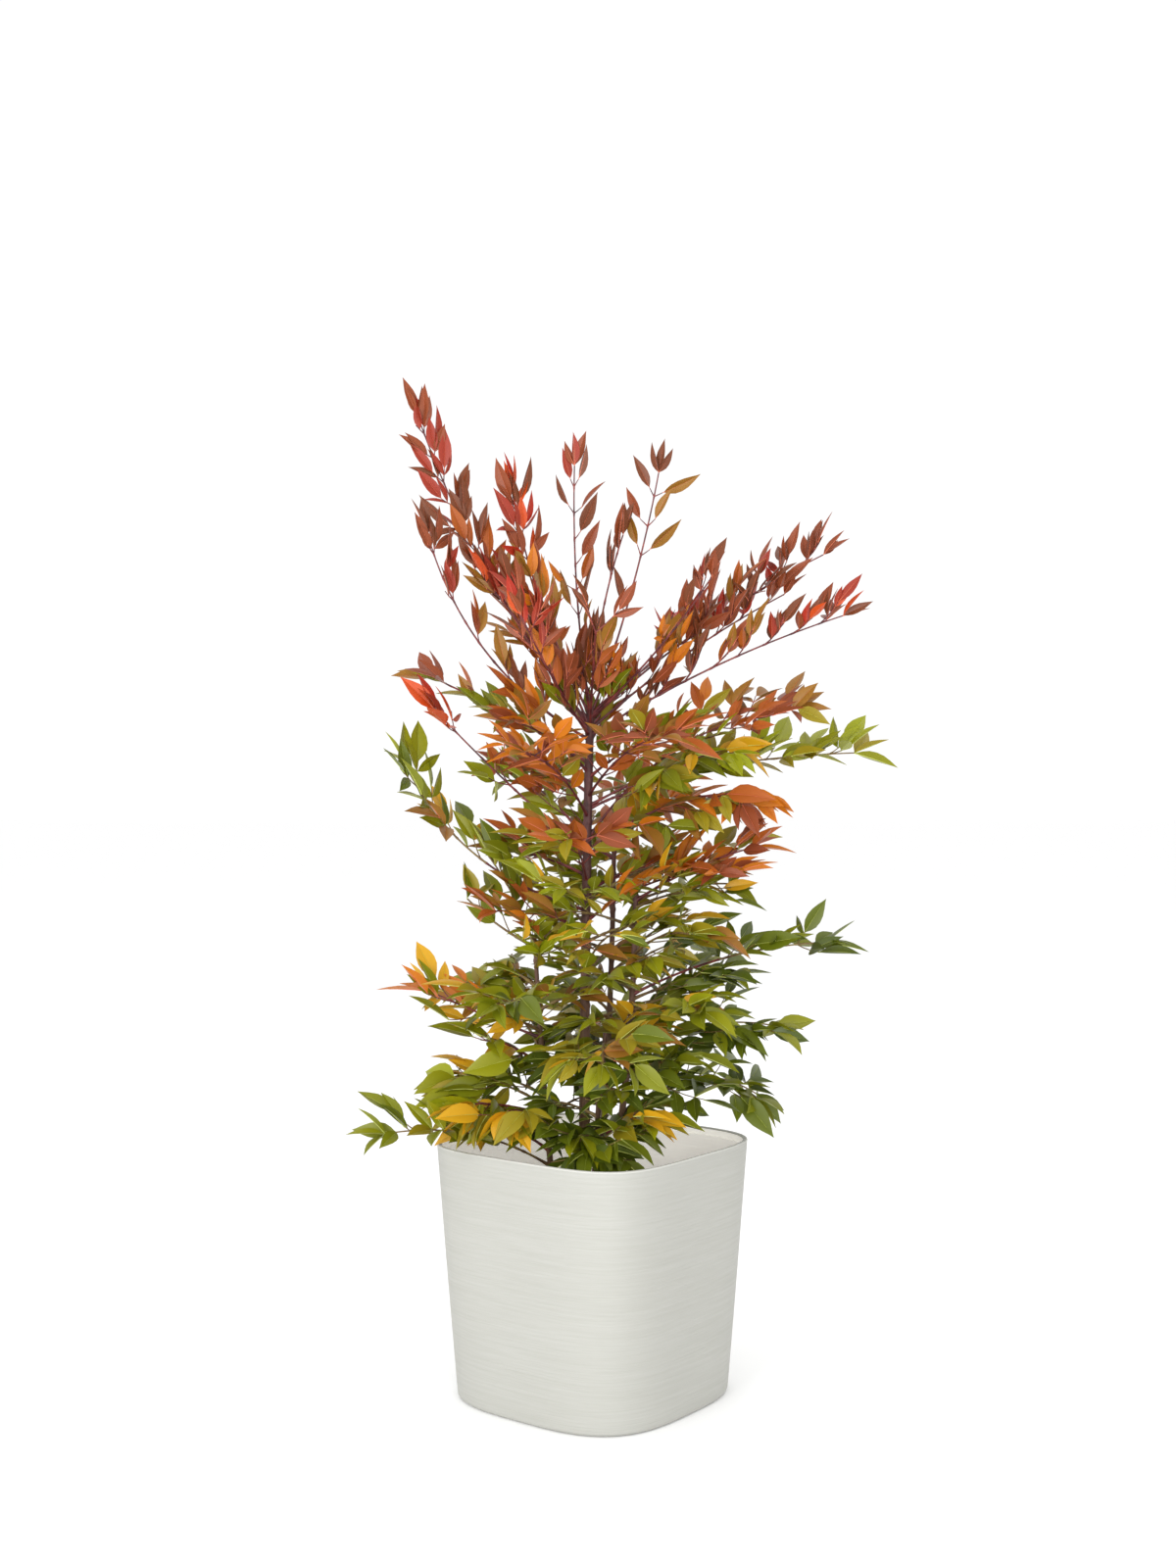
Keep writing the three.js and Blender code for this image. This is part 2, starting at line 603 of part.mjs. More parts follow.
add("pot", geometryOf(solidOf(potGeometry())), finish("pot", 0.6));
add("soil", geometryOf(solidOf(soilGeometry())), finish("soil", 0.95));
for (const [name, cane] of Object.entries(CANES)) {
  const radiusAt = (share) => caneRadius(cane, share);
  const shape = { sides: CANE_SIDES, steps: CANE_STEPS, facing: FRONT, cut: true };
  add(name, limbGeometry(caneCurve(cane), [0, 1], radiusAt, shape), finish("cane", 0.7));
}
leaves.forEach((leaf, order) => {
  if (leaf.bough) {
    const radiusAt = (share) => stalkRadius(mix(leaf.start, leaf.bare, share));
    const shape = { sides: BOUGH_SIDES, steps: BOUGH_STEPS, facing: UP };
    const geometry = limbGeometry(leaf.curve, [leaf.start, leaf.bare], radiusAt, shape);
    add(`bough_${leaf.name}`, geometry, finish("stalk", 0.6));
  }
  add(`leaf_${leaf.name}`, leafGeometry(leaf, order), finish(leaf.tint, 0.5));
});

export default plant;
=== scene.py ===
import math
from collections import namedtuple

import bpy
import numpy as np
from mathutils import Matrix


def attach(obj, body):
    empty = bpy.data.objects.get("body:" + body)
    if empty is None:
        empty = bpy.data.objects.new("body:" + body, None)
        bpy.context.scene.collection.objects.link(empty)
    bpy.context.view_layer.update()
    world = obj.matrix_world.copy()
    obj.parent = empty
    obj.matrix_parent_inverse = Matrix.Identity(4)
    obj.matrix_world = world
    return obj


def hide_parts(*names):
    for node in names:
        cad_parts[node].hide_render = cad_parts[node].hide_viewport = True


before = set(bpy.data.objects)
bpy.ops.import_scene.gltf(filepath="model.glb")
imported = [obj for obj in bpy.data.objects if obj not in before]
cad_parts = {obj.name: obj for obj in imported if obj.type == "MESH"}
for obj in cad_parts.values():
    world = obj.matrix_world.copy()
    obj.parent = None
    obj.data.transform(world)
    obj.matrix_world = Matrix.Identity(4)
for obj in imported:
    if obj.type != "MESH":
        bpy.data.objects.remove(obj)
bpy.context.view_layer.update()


# --- View -------------------------------------------------------------------------------------
# A level camera 1.9 m in front of the canes and 0.62 m above the floor, with an upright field
# that is 1.6 m high where the canes stand.
MM = 0.001  # the plant and planter are set out in millimetres and made in metres
CAMERA_SIDE = -5.5
CAMERA_DISTANCE = 1878
CAMERA_HEIGHT = 619
FIELD_HEIGHT = 1600
LOOK_AHEAD = math.radians(90)  # a camera looks straight down until it is turned up by this

bpy.ops.object.camera_add(
    location=(CAMERA_SIDE * MM, -CAMERA_DISTANCE * MM, CAMERA_HEIGHT * MM),
    rotation=(LOOK_AHEAD, 0, 0),
)
camera = bpy.context.object
camera.data.sensor_fit = "VERTICAL"
camera.data.lens = camera.data.sensor_height * CAMERA_DISTANCE / FIELD_HEIGHT
bpy.context.scene.camera = camera
bpy.context.scene.view_settings.view_transform = "Standard"


# --- Floor and light --------------------------------------------------------------------------
# A wide floor of matt white board under an even white surround. A large soft light stands to the
# left in front, a smaller one low in front, and a faint one hangs above, a little behind.
FLOOR_HALF = 30
FLOOR_WHITE = 0.96
FLOOR_ROUGHNESS = 0.9
SURROUND_STRENGTH = 1.04
# name, place in metres, size in metres, watts
LIGHTS = [
    ("light_left", (-2.0, -2.8, 1.4), 1.6, 50),
    ("light_front", (0.5, -3.1, 0.8), 1.0, 36),
    ("light_top", (0.3, 0.8, 2.9), 1.8, 12),
]
LIGHT_TARGET = np.array((0, 0, 0.5))

bpy.ops.mesh.primitive_plane_add(size=2 * FLOOR_HALF, location=(0, 0, 0))
floor = bpy.context.object
floor.name = "floor"
board = bpy.data.materials.new("white_board")
board.use_nodes = True
board_shader = board.node_tree.nodes["Principled BSDF"]
board_shader.inputs["Base Color"].default_value = (FLOOR_WHITE, FLOOR_WHITE, FLOOR_WHITE, 1)
board_shader.inputs["Roughness"].default_value = FLOOR_ROUGHNESS
floor.data.materials.append(board)

surround = bpy.data.worlds.new("surround")
surround.use_nodes = True
surround.node_tree.nodes["Background"].inputs["Color"].default_value = (1, 1, 1, 1)
surround.node_tree.nodes["Background"].inputs["Strength"].default_value = SURROUND_STRENGTH
bpy.context.scene.world = surround


def turn_towards(place, target):
    """The turn that points a light's -Z from a place to a target."""
    x, y, z = target - np.array(place)
    return (math.atan2(math.hypot(x, y), -z), 0, math.atan2(x, -y) + math.pi)


for name, place, size, watts in LIGHTS:
    bpy.ops.object.light_add(type="AREA", location=place)
    light = bpy.context.object
    light.name = name
    light.rotation_euler = turn_towards(place, LIGHT_TARGET)
    light.data.size = size
    light.data.energy = watts


# --- Planter ----------------------------------------------------------------------------------
# A rounded square tub of off-white moulded plastic, with a thin rounded rim and a thicker band
# inside it. Its outside has fine wavy lines that run level round it, as if brushed. Its inside is
# the same plastic painted far paler and glowing, a painted light where the foliage shades it, and
# the top of its rim is painted paler as a painted highlight.
POT_HEIGHT = 256
POT_FOOT_HALF = 121
POT_RIM_HALF = 132
POT_FOOT_SQUARENESS = 3.2
POT_RIM_SQUARENESS = 4.35
POT_TURN = math.radians(52.3)
POT_WALL = 4
POT_FLOOR = 6
FOOT_ROUND = 5
RIM_ROUND = 1.6
LIP_DROP = 7
LIP_STEP = 1.2
POT_CORNERS = 192
WALL_ROWS = 26
ROUND_STEPS = 6
MERGE_WITHIN = 1e-6  # metres
SMOOTH_ANGLE = 50  # degrees between two faces, below which they are shaded as one surface
POT_LIGHT = (172, 172, 166)
POT_DARK = (166, 166, 159)
# painted highlight: the rim's top is the same plastic painted paler than the wall
POT_RIM_PAINTED_HIGHLIGHT = (190, 190, 184)
# painted light: the inside is the same plastic painted far paler than the outside
POT_INSIDE_PAINTED_LIGHT = (248, 245, 238)
POT_PAINTED_GLOW = 0.3  # painted glow: light the inside gives off though it is no lamp, lifting the foliage's shade
# A grain is a noise: how many spots to a metre along each axis, its detail and its roughness.
POT_LINES = ((14, 14, 420), 4, 0.6)
POT_BANDS = ((5, 5, 60), 2)
POT_LINE_SHARE = 0.78
POT_CONTRAST = (0.34, 0.66)
POT_ROUGHNESS = 0.62  # in the hollows of the lines
POT_SHEEN = 0.12  # how much less that is on their tops
# A relief is the strength of a bump and its depth in metres.
POT_RELIEF = (0.32, 0.0006)


class Socket:
    """An output of a node. What is worked out from it is added to the same material."""

    def __init__(self, tree, output):
        self.tree = tree
        self.output = output

    def node(self, kind, settings, sockets, output=0):
        """Adds a node: first its settings, then the values or links of its sockets."""
        node = self.tree.nodes.new(kind)
        for name, value in settings.items():
            setattr(node, name, value)
        for name, value in sockets.items():
            if isinstance(value, Socket):
                self.tree.links.new(value.output, node.inputs[name])
            else:
                node.inputs[name].default_value = value
        return Socket(self.tree, node.outputs[output])

    def maths(self, operation, first, second):
        return self.node("ShaderNodeMath", {"operation": operation}, {0: first, 1: second})

    def __add__(self, other):
        return self.maths("ADD", self, other)

    def __rsub__(self, other):
        return self.maths("SUBTRACT", other, self)

    def __mul__(self, other):
        return self.maths("MULTIPLY", self, other)

    def grain(self, spots, detail, roughness=0.5):
        """Noise over a place."""
        place = self.node("ShaderNodeVectorMath", {"operation": "MULTIPLY"}, {0: self, 1: spots})
        sockets = {"Vector": place, "Scale": 1.0, "Detail": detail, "Roughness": roughness}
        return self.node("ShaderNodeTexNoise", {}, sockets)

    def between(self, low, high):
        """The share of the way that this value is from a low one to a high one."""
        return self.node("ShaderNodeMapRange", {}, {0: self, 1: low, 2: high, 3: 0.0, 4: 1.0})

    def blend(self, first, second):
        """A colour between two, by this share. A Mix node takes its colours at 6 and 7."""
        sockets = {0: self, 6: first, 7: second}
        return self.node("ShaderNodeMix", {"data_type": "RGBA"}, sockets, output=2)

    def ramp(self, first, *others):
        """A colour by this value, between stops of a value and a colour."""
        colours = self.node("ShaderNodeValToRGB", {}, {0: self})
        stops = colours.output.node.color_ramp.elements
        *middles, last = others
        for stop, (value, colour) in zip(stops, (first, last)):
            stop.position, stop.color = value, linear(colour)
        for value, colour in middles:
            stops.new(value).color = linear(colour)
        return colours

    def relief(self, strength, depth):
        """A bump by this height."""
        return self.node("ShaderNodeBump", {}, {"Strength": strength, "Distance": depth, "Height": self})

    def into(self, shader, socket):
        self.tree.links.new(self.output, shader.inputs[socket])


def linear(colour):
    """A colour given in screen values from 0 to 255, as a shader takes it."""
    return tuple(((v / 255 + 0.055) / 1.055) ** 2.4 for v in colour) + (1,)


def start_finish(name, roughness):
    """A material, its shader, and the place on its piece in metres."""
    material = bpy.data.materials.new(name)
    material.use_nodes = True
    tree = material.node_tree
    shader = tree.nodes["Principled BSDF"]
    shader.inputs["Roughness"].default_value = roughness
    place = Socket(tree, tree.nodes.new("ShaderNodeTexCoord").outputs["Object"])
    return material, shader, place


def pot_finish(name, colour, darker=None):
    """Brushed plastic, whose lines show in relief and sheen, and in colour if a darker one is given."""
    material, shader, place = start_finish(name, POT_ROUGHNESS)
    lines = place.grain(*POT_LINES) * POT_LINE_SHARE
    bands = place.grain(*POT_BANDS) * (1 - POT_LINE_SHARE)
    brushing = (lines + bands).between(*POT_CONTRAST)
    shader.inputs["Base Color"].default_value = linear(colour)
    if darker:
        brushing.blend(linear(darker), linear(colour)).into(shader, "Base Color")
    brushing.relief(*POT_RELIEF).into(shader, "Normal")
    (POT_ROUGHNESS - brushing * POT_SHEEN).into(shader, "Roughness")
    return material


def mix(first, second, share):
    return first + (second - first) * share


def pot_half(height):
    """Half the planter's width across two flats, at a height."""
    return mix(POT_FOOT_HALF, POT_RIM_HALF, height / POT_HEIGHT)


def squareness(angle, height):
    """How much further out the rounded square reaches along an angle than at its flats."""
    power = mix(POT_FOOT_SQUARENESS, POT_RIM_SQUARENESS, height / POT_HEIGHT)
    turn = angle - POT_TURN
    return (abs(math.cos(turn)) ** power + abs(math.sin(turn)) ** power) ** (-1 / power)


def arc(middle_in, middle_up, radius, start, stop):
    """Rows of a rounded edge, inset from the wall, by angle from straight out towards up."""
    rows = []
    for step in range(ROUND_STEPS + 1):
        angle = math.radians(mix(start, stop, step / ROUND_STEPS))
        height = middle_up + radius * math.sin(angle)
        rows.append((pot_half(height) - middle_in + radius * math.cos(angle), height))
    return rows


def pot_rows():
    """The planter's profile from its underside, over the rim, to its inner floor."""
    thin = POT_WALL - LIP_STEP
    lip_foot = POT_HEIGHT - LIP_DROP
    rows = arc(FOOT_ROUND, FOOT_ROUND, FOOT_ROUND, -90, 0)
    for row in range(1, WALL_ROWS):
        height = mix(FOOT_ROUND, POT_HEIGHT - RIM_ROUND, row / WALL_ROWS)
        rows.append((pot_half(height), height))
    rows += arc(RIM_ROUND, POT_HEIGHT - RIM_ROUND, RIM_ROUND, 0, 90)
    rows += arc(POT_WALL - RIM_ROUND, POT_HEIGHT - RIM_ROUND, RIM_ROUND, 90, 180)
    rows += arc(POT_WALL + LIP_STEP, lip_foot, LIP_STEP, 0, -90)
    for row in range(1, WALL_ROWS + 1):
        height = mix(lip_foot - 2 * LIP_STEP, POT_FLOOR, row / WALL_ROWS)
        rows.append((pot_half(height) - thin, height))
    return rows


def square_off(piece):
    """Draws a round piece out to the planter's rounded square."""
    for vertex in piece.data.vertices:
        x, y, z = vertex.co
        reach = squareness(math.atan2(y, x), z / MM)
        vertex.co = (x * reach, y * reach, z)


def raise_rows(name, rows):
    """A round piece from a flat disc, extruded and resized row by row up its profile."""
    bpy.ops.object.select_all(action="DESELECT")
    (half, height), *others = rows
    bpy.ops.mesh.primitive_circle_add(
        vertices=POT_CORNERS, radius=half * MM, fill_type="NGON", location=(0, 0, height * MM)
    )
    piece = bpy.context.object
    piece.name = name
    bpy.ops.object.transform_apply(location=True)
    bpy.ops.object.mode_set(mode="EDIT")
    bpy.ops.mesh.select_all(action="SELECT")
    for next_half, next_height in others:
        rise = (next_height - height) * MM
        bpy.ops.mesh.extrude_region_move(TRANSFORM_OT_translate={"value": (0, 0, rise)})
        wider = next_half / half
        bpy.ops.transform.resize(value=(wider, wider, 1), center_override=(0, 0, 0))
        half, height = next_half, next_height
    bpy.ops.mesh.select_all(action="SELECT")
    bpy.ops.mesh.remove_doubles(threshold=MERGE_WITHIN)
    bpy.ops.mesh.normals_make_consistent(inside=False)
    bpy.ops.object.mode_set(mode="OBJECT")
    return piece


planter = raise_rows("planter", pot_rows())
square_off(planter)
bpy.ops.object.shade_smooth_by_angle(angle=math.radians(SMOOTH_ANGLE))
plastic = pot_finish("pot_plastic", POT_LIGHT, POT_DARK)
# The inside takes a painted light: a far paler colour and a painted glow, in the foliage's shade.
lit_inside_finish = pot_finish("pot_inside_painted_light", POT_INSIDE_PAINTED_LIGHT)
lit_inside_shader = lit_inside_finish.node_tree.nodes["Principled BSDF"]
lit_inside_shader.inputs["Emission Color"].default_value = linear(POT_INSIDE_PAINTED_LIGHT)
lit_inside_shader.inputs["Emission Strength"].default_value = POT_PAINTED_GLOW
# The top of the rim takes a paler colour: a painted highlight.
finishes = [plastic, lit_inside_finish, pot_finish("pot_rim_painted_highlight", POT_RIM_PAINTED_HIGHLIGHT)]
OUTSIDE, INSIDE, RIM = range(len(finishes))
for finish in finishes:
    planter.data.materials.append(finish)
# Faces on top of the rim take the painted highlight, and those that look in take the painted light.
for face in planter.data.polygons:
    looks_in = face.normal.x * face.center.x + face.normal.y * face.center.y < 0
    face.material_index = OUTSIDE
    if face.center.z > (POT_HEIGHT - RIM_ROUND) * MM:
        face.material_index = RIM
    elif looks_in and face.center.z > POT_FLOOR * MM:
        face.material_index = INSIDE
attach(planter, "root")
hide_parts("pot")


# --- Potting mix ------------------------------------------------------------------------------
# Damp peat and composted bark, poured in to 60 mm below the planter's rim. Its top is a little
# lower at the edge and uneven with small lumps, and its side stands just clear of the wall.
SOIL_TOP = 196
SOIL_CROWN = 4
SOIL_FLAT = 0.62  # share of its width that is flat before it falls to the edge
SOIL_SIDE_GAP = 0.7
SEAT_GAP = 0.3
SOIL_RINGS = 44
SOIL_SIDE_ROWS = 12
LUMP_SIZE = 9
LUMP_DETAIL = 3
LUMP_HEIGHT = 3.2
LUMP_LEVEL = 0.62  # share of the lumps' height that lies below the mix's own level
LUMPS_BELOW_EDGE = 1  # how far down its side the lumps begin
SOIL_CRUMBS = ((420, 420, 420), 5, 0.7)
SOIL_PATCHES = ((38, 38, 38), 3)
CRUMB_SHARE = 0.7
SOIL_COLOURS = ((0.32, (34, 25, 19)), (0.5, (62, 45, 34)), (0.72, (98, 74, 54)))
SOIL_BUMP = (0.9, 0.002)
SOIL_ROUGHNESS = 0.92


def soil_finish():
    material, shader, place = start_finish("potting_mix", SOIL_ROUGHNESS)
    crumbs = place.grain(*SOIL_CRUMBS)
    patches = place.grain(*SOIL_PATCHES)
    tone = crumbs * CRUMB_SHARE + patches * (1 - CRUMB_SHARE)
    tone.ramp(*SOIL_COLOURS).into(shader, "Base Color")
    crumbs.relief(*SOIL_BUMP).into(shader, "Normal")
    return material


def soil_rows():
    """The mix's profile: up its side, then in over its top to a small middle face."""
    inset = POT_WALL - LIP_STEP + SOIL_SIDE_GAP
    foot = POT_FLOOR + SEAT_GAP
    edge = SOIL_TOP - SOIL_CROWN
    rows = [(pot_half(height) - inset, height) for height in np.linspace(foot, edge, SOIL_SIDE_ROWS)]
    outer = rows[-1][0]
    for ring in range(1, SOIL_RINGS):
        share = 1 - ring / SOIL_RINGS
        height = SOIL_TOP - SOIL_CROWN * max(0, (share - SOIL_FLAT) / (1 - SOIL_FLAT))
        rows.append((outer * share, height))
    return rows


mix_bed = raise_rows("potting_mix", soil_rows())
square_off(mix_bed)
lumps = bpy.data.textures.new("lumps", "CLOUDS")
lumps.noise_scale = LUMP_SIZE * MM
lumps.noise_depth = LUMP_DETAIL
top_group = mix_bed.vertex_groups.new(name="top")
lumps_from = (SOIL_TOP - SOIL_CROWN - LUMPS_BELOW_EDGE) * MM
top_group.add([v.index for v in mix_bed.data.vertices if v.co.z > lumps_from], 1, "REPLACE")
heave = mix_bed.modifiers.new("heave", "DISPLACE")
heave.texture = lumps
heave.vertex_group = top_group.name
heave.direction = "Z"
heave.strength = LUMP_HEIGHT * MM
heave.mid_level = LUMP_LEVEL
bpy.ops.object.modifier_apply(modifier=heave.name)
bpy.ops.object.shade_smooth_by_angle(angle=math.radians(SMOOTH_ANGLE))
mix_bed.data.materials.append(soil_finish())
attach(mix_bed, "root")
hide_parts("soil")


# --- Bark chips -------------------------------------------------------------------------------
# Flat angular chips of composted bark, left on top when the mix was poured in. They lie loose on
# it, each turned its own way, and some are half sunk.
CHIP_COUNT = 900
CHIP_SEED = 17
CHIP_LENGTH = (2.2, 6.5)  # half a chip's length, of most chips and of the largest
CHIP_WIDTH = (0.55, 0.2)  # as a share of its length, and how much that varies
CHIP_DEPTH = (0.3, 0.12)
CHIP_TILT = 0.5
CHIP_FROM_WALL = 9
CHIP_SUNK = 1
CHIP_RAISED = 0.3  # as a share of its length
CHIP_ANGLE = 20  # degrees between two faces that are shaded as one surface
CHIP_GRAIN = ((160, 160, 160), 3)
CHIP_COLOURS = ((0.34, (44, 31, 23)), (0.52, (88, 62, 43)), (0.7, (132, 98, 68)))
CHIP_ROUGHNESS = 0.85
LEHMER_STEP, LEHMER_SIZE = 48271, 2147483647  # of a common generator of even random numbers


def dice(seed):
    """Repeatable numbers from -1 to 1, by a Lehmer generator."""
    state = seed

    def roll():
        nonlocal state
        state = (state * LEHMER_STEP) % LEHMER_SIZE
        return 2 * state / LEHMER_SIZE - 1

    return roll


def piece_from(name, points, faces, finish, slot, smooth_angle=SMOOTH_ANGLE):
    """A finished piece from points in millimetres and faces."""
    data = bpy.data.meshes.new(name)
    data.from_pydata((np.asarray(points) * MM).tolist(), [], faces)
    data.materials.append(finish)
    piece = bpy.data.objects.new(name, data)
    bpy.context.collection.objects.link(piece)
    bpy.ops.object.select_all(action="DESELECT")
    piece.select_set(True)
    bpy.context.view_layer.objects.active = piece
    bpy.ops.object.shade_smooth_by_angle(angle=math.radians(smooth_angle))
    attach(piece, "root")
    return piece


def about(average, spread, roll):
    """A value near its average, by a throw of the dice."""
    return average + spread * roll()


def bark_chips():
    """Chips as squashed eight-faced solids, each turned its own way."""
    roll = dice(CHIP_SEED)
    corners = np.array([(1, 0, 0), (-1, 0, 0), (0, 1, 0), (0, -1, 0), (0, 0, 1), (0, 0, -1)])
    sides = [(0, 2, 4), (2, 1, 4), (1, 3, 4), (3, 0, 4), (2, 0, 5), (1, 2, 5), (3, 1, 5), (0, 3, 5)]
    points, faces = [], []
    for _ in range(CHIP_COUNT):
        angle = math.pi * roll()
        share = math.sqrt(abs(roll()))
        reach = (pot_half(SOIL_TOP) - CHIP_FROM_WALL) * squareness(angle, SOIL_TOP) * share
        size = mix(*CHIP_LENGTH, roll() ** 2)
        stretch = size * np.array((1, about(*CHIP_WIDTH, roll), about(*CHIP_DEPTH, roll)))
        yaw, tilt = math.pi * roll(), CHIP_TILT * roll()
        across = np.array((math.cos(yaw), math.sin(yaw), 0))
        over = np.array((-math.sin(yaw) * math.cos(tilt), math.cos(yaw) * math.cos(tilt), math.sin(tilt)))
        turn = np.array((across, over, np.cross(across, over)))
        height = SOIL_TOP - CHIP_SUNK + CHIP_RAISED * size
        middle = np.array((reach * math.cos(angle), reach * math.sin(angle), height))
        faces += [tuple(len(points) + i for i in side) for side in sides]
        points += list(middle + (corners * stretch) @ turn)
    return points, faces


def chip_finish():
    material, shader, place = start_finish("bark_chip", CHIP_ROUGHNESS)
    place.grain(*CHIP_GRAIN).ramp(*CHIP_COLOURS).into(shader, "Base Color")
    return material


piece_from("bark_chips", *bark_chips(), chip_finish(), "soil", CHIP_ANGLE)


# --- Canes ------------------------------------------------------------------------------------
# Five unbranched woody stems that rise from the mix. Each has rings where old leaves clasped it
# and fine bark ridges between them, purple-brown above and greener at its foot, with a cut top.
# name: foot and top in plan, height of the top, radii there, and how far the middle bows
CANES = {
    "cane_main": ((-9, 0), (-3, 2), 698, (5.6, 4), (-2, 2)),
    "cane_right": ((17, -8), (43, -2), 512, (3.8, 2.6), (6, -3)),
    "cane_left": ((-41, 6), (-60, 2), 462, (3.3, 2), (-1, -3)),
    "cane_back": ((6, 34), (22, 62), 560, (3.8, 2.2), (3, 8)),
    "cane_front": ((2, -36), (12, -52), 372, (3.4, 2), (-3, -5)),
}
FLARE = 0.5
FLARE_HEIGHT = 0.04
CANE_SIDES = 28
CANE_ROW = 1.6  # between rings of the mesh
CANE_SEED = 501
SCAR_SPACING = 23  # between the rings that old leaves left
SCAR_JITTER = 0.22  # as a share of that spacing
SCAR_SLANT = 1.3
SCAR_RISE = 0.75
SCAR_WIDTH = 2.2
SCAR_DENT = 0.35  # of the groove above each ring, as a share of its rise
SCAR_DENT_ABOVE = 3
SCAR_DENT_WIDTH = 1.2
SCARS_END = 3  # how far below the top the last one may be
RIDGE_DEPTH = 0.16
RIDGES = 9
RIDGE_SETS = 4  # each finer and shallower than the one before
RIDGES_MORE = 4
RIDGE_FADE = 1.5
RIDGE_TWIST = 0.02
TOP_DRAWN_IN = 0.86
CANE_STREAKS = ((260, 260, 34), 4, 0.6)
CANE_BLOTCHES = ((60, 60, 22), 2)
STREAK_SHARE = 0.6
CANE_LOW = ((0.3, (74, 52, 36)), (0.5, (118, 88, 58)), (0.7, (132, 112, 66)))
CANE_HIGH = ((0.3, (46, 26, 28)), (0.52, (82, 46, 46)), (0.74, (118, 74, 66)))
CANE_TURNS_PURPLE = (0.2, 0.56)  # metres
CANE_RELIEF = (0.6, 0.0006)
CANE_ROUGHNESS = 0.62


def cane_curve(name):
    """The three points of a cane's curve, as a quadratic Bezier."""
    foot, top, height, _, bow = CANES[name]
    start = SOIL_TOP + SEAT_GAP
    middle = [(foot[i] + top[i]) / 2 + 2 * bow[i] for i in (0, 1)] + [(start + height) / 2]
    return np.array(((*foot, start), middle, (*top, height)), float)


def on_curve(curve, share):
    a, b, c = curve
    return (1 - share) ** 2 * a + 2 * share * (1 - share) * b + share**2 * c


def unit(vector):
    return vector / np.linalg.norm(vector)


def along_curve(curve, share):
    a, b, c = curve
    return unit((1 - share) * (b - a) + share * (c - b))


def cane_share(name, height):
    return (height - SOIL_TOP - SEAT_GAP) / (CANES[name][2] - SOIL_TOP - SEAT_GAP)


def cane_radius(name, share):
    thick = CANES[name][3]
    return mix(*thick, share) * (1 + FLARE * math.exp(-share / FLARE_HEIGHT))


UP = np.array((0.0, 0.0, 1.0))
FRONT = np.array((0.0, -1.0, 0.0))


def skin(rings, first=0):
    """Faces over rings of points, closed by a face at each end. Rings run anticlockwise."""
    sides = len(rings[0])
    faces = []
    for row in range(len(rings) - 1):
        low, high = first + row * sides, first + (row + 1) * sides
        for i in range(sides):
            j = (i + 1) % sides
            faces.append((low + i, low + j, high + j, high + i))
    faces.append(tuple(first + i for i in reversed(range(sides))))
    faces.append(tuple(first + (len(rings) - 1) * sides + i for i in range(sides)))
    return faces


def cane_rings(name, order):
    """Rings up a cane, with its leaf scars and bark ridges worked into their radius."""
    roll = dice(CANE_SEED + order)
    curve = cane_curve(name)
    length = np.linalg.norm(curve[2] - curve[0])
    phases = [math.pi * roll() for _ in range(RIDGE_SETS)]
    scars = np.arange(SCAR_SPACING / 2, length - SCARS_END, SCAR_SPACING)
    scars = scars + np.array([SCAR_JITTER * SCAR_SPACING * roll() for _ in scars])
    tilts = [math.pi * roll() for _ in scars]
    angles = np.linspace(0, 2 * math.pi, CANE_SIDES, endpoint=False)
    rows = round(length / CANE_ROW)
    rings = []
    for row in range(rows + 1):
        share = row / rows
        height = share * length
        along = UP if row == 0 else along_curve(curve, share)
        across = unit(np.cross(FRONT, along))
        outward = np.cross(across, along)
        ridge = sum(
            np.sin((RIDGES + RIDGES_MORE * k) * angles + phase + RIDGE_TWIST * (k + 1) * height)
            / (k + RIDGE_FADE)
            for k, phase in enumerate(phases)
        )
        radius = cane_radius(name, share) + RIDGE_DEPTH * ridge
        for scar, tilt in zip(scars, tilts):
            away = height - scar - SCAR_SLANT * np.cos(angles - tilt)
            dent_away = away - SCAR_DENT_ABOVE
            radius = radius + SCAR_RISE * np.exp(-((away / SCAR_WIDTH) ** 2))
            radius = radius - SCAR_DENT * SCAR_RISE * np.exp(-((dent_away / SCAR_DENT_WIDTH) ** 2))
        if row == rows:
            radius = radius * TOP_DRAWN_IN
        spokes = np.outer(np.cos(angles) * radius, -across) + np.outer(np.sin(angles) * radius, outward)
        rings.append(on_curve(curve, share) + spokes)
    return rings


def cane_finish():
    material, shader, place = start_finish("cane_bark", CANE_ROUGHNESS)
    streaks = place.grain(*CANE_STREAKS)
    tone = streaks * STREAK_SHARE + place.grain(*CANE_BLOTCHES) * (1 - STREAK_SHARE)
    height = place.node("ShaderNodeSeparateXYZ", {}, {0: place}, output=2)
    bark = height.between(*CANE_TURNS_PURPLE).blend(tone.ramp(*CANE_LOW), tone.ramp(*CANE_HIGH))
    bark.into(shader, "Base Color")
    streaks.relief(*CANE_RELIEF).into(shader, "Normal")
    return material


cane_bark = cane_finish()
for order, name in enumerate(CANES):
    rings = cane_rings(name, order)
    cane = piece_from("bark_" + name, np.concatenate(rings), skin(rings), cane_bark, "cane")
    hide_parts(name)


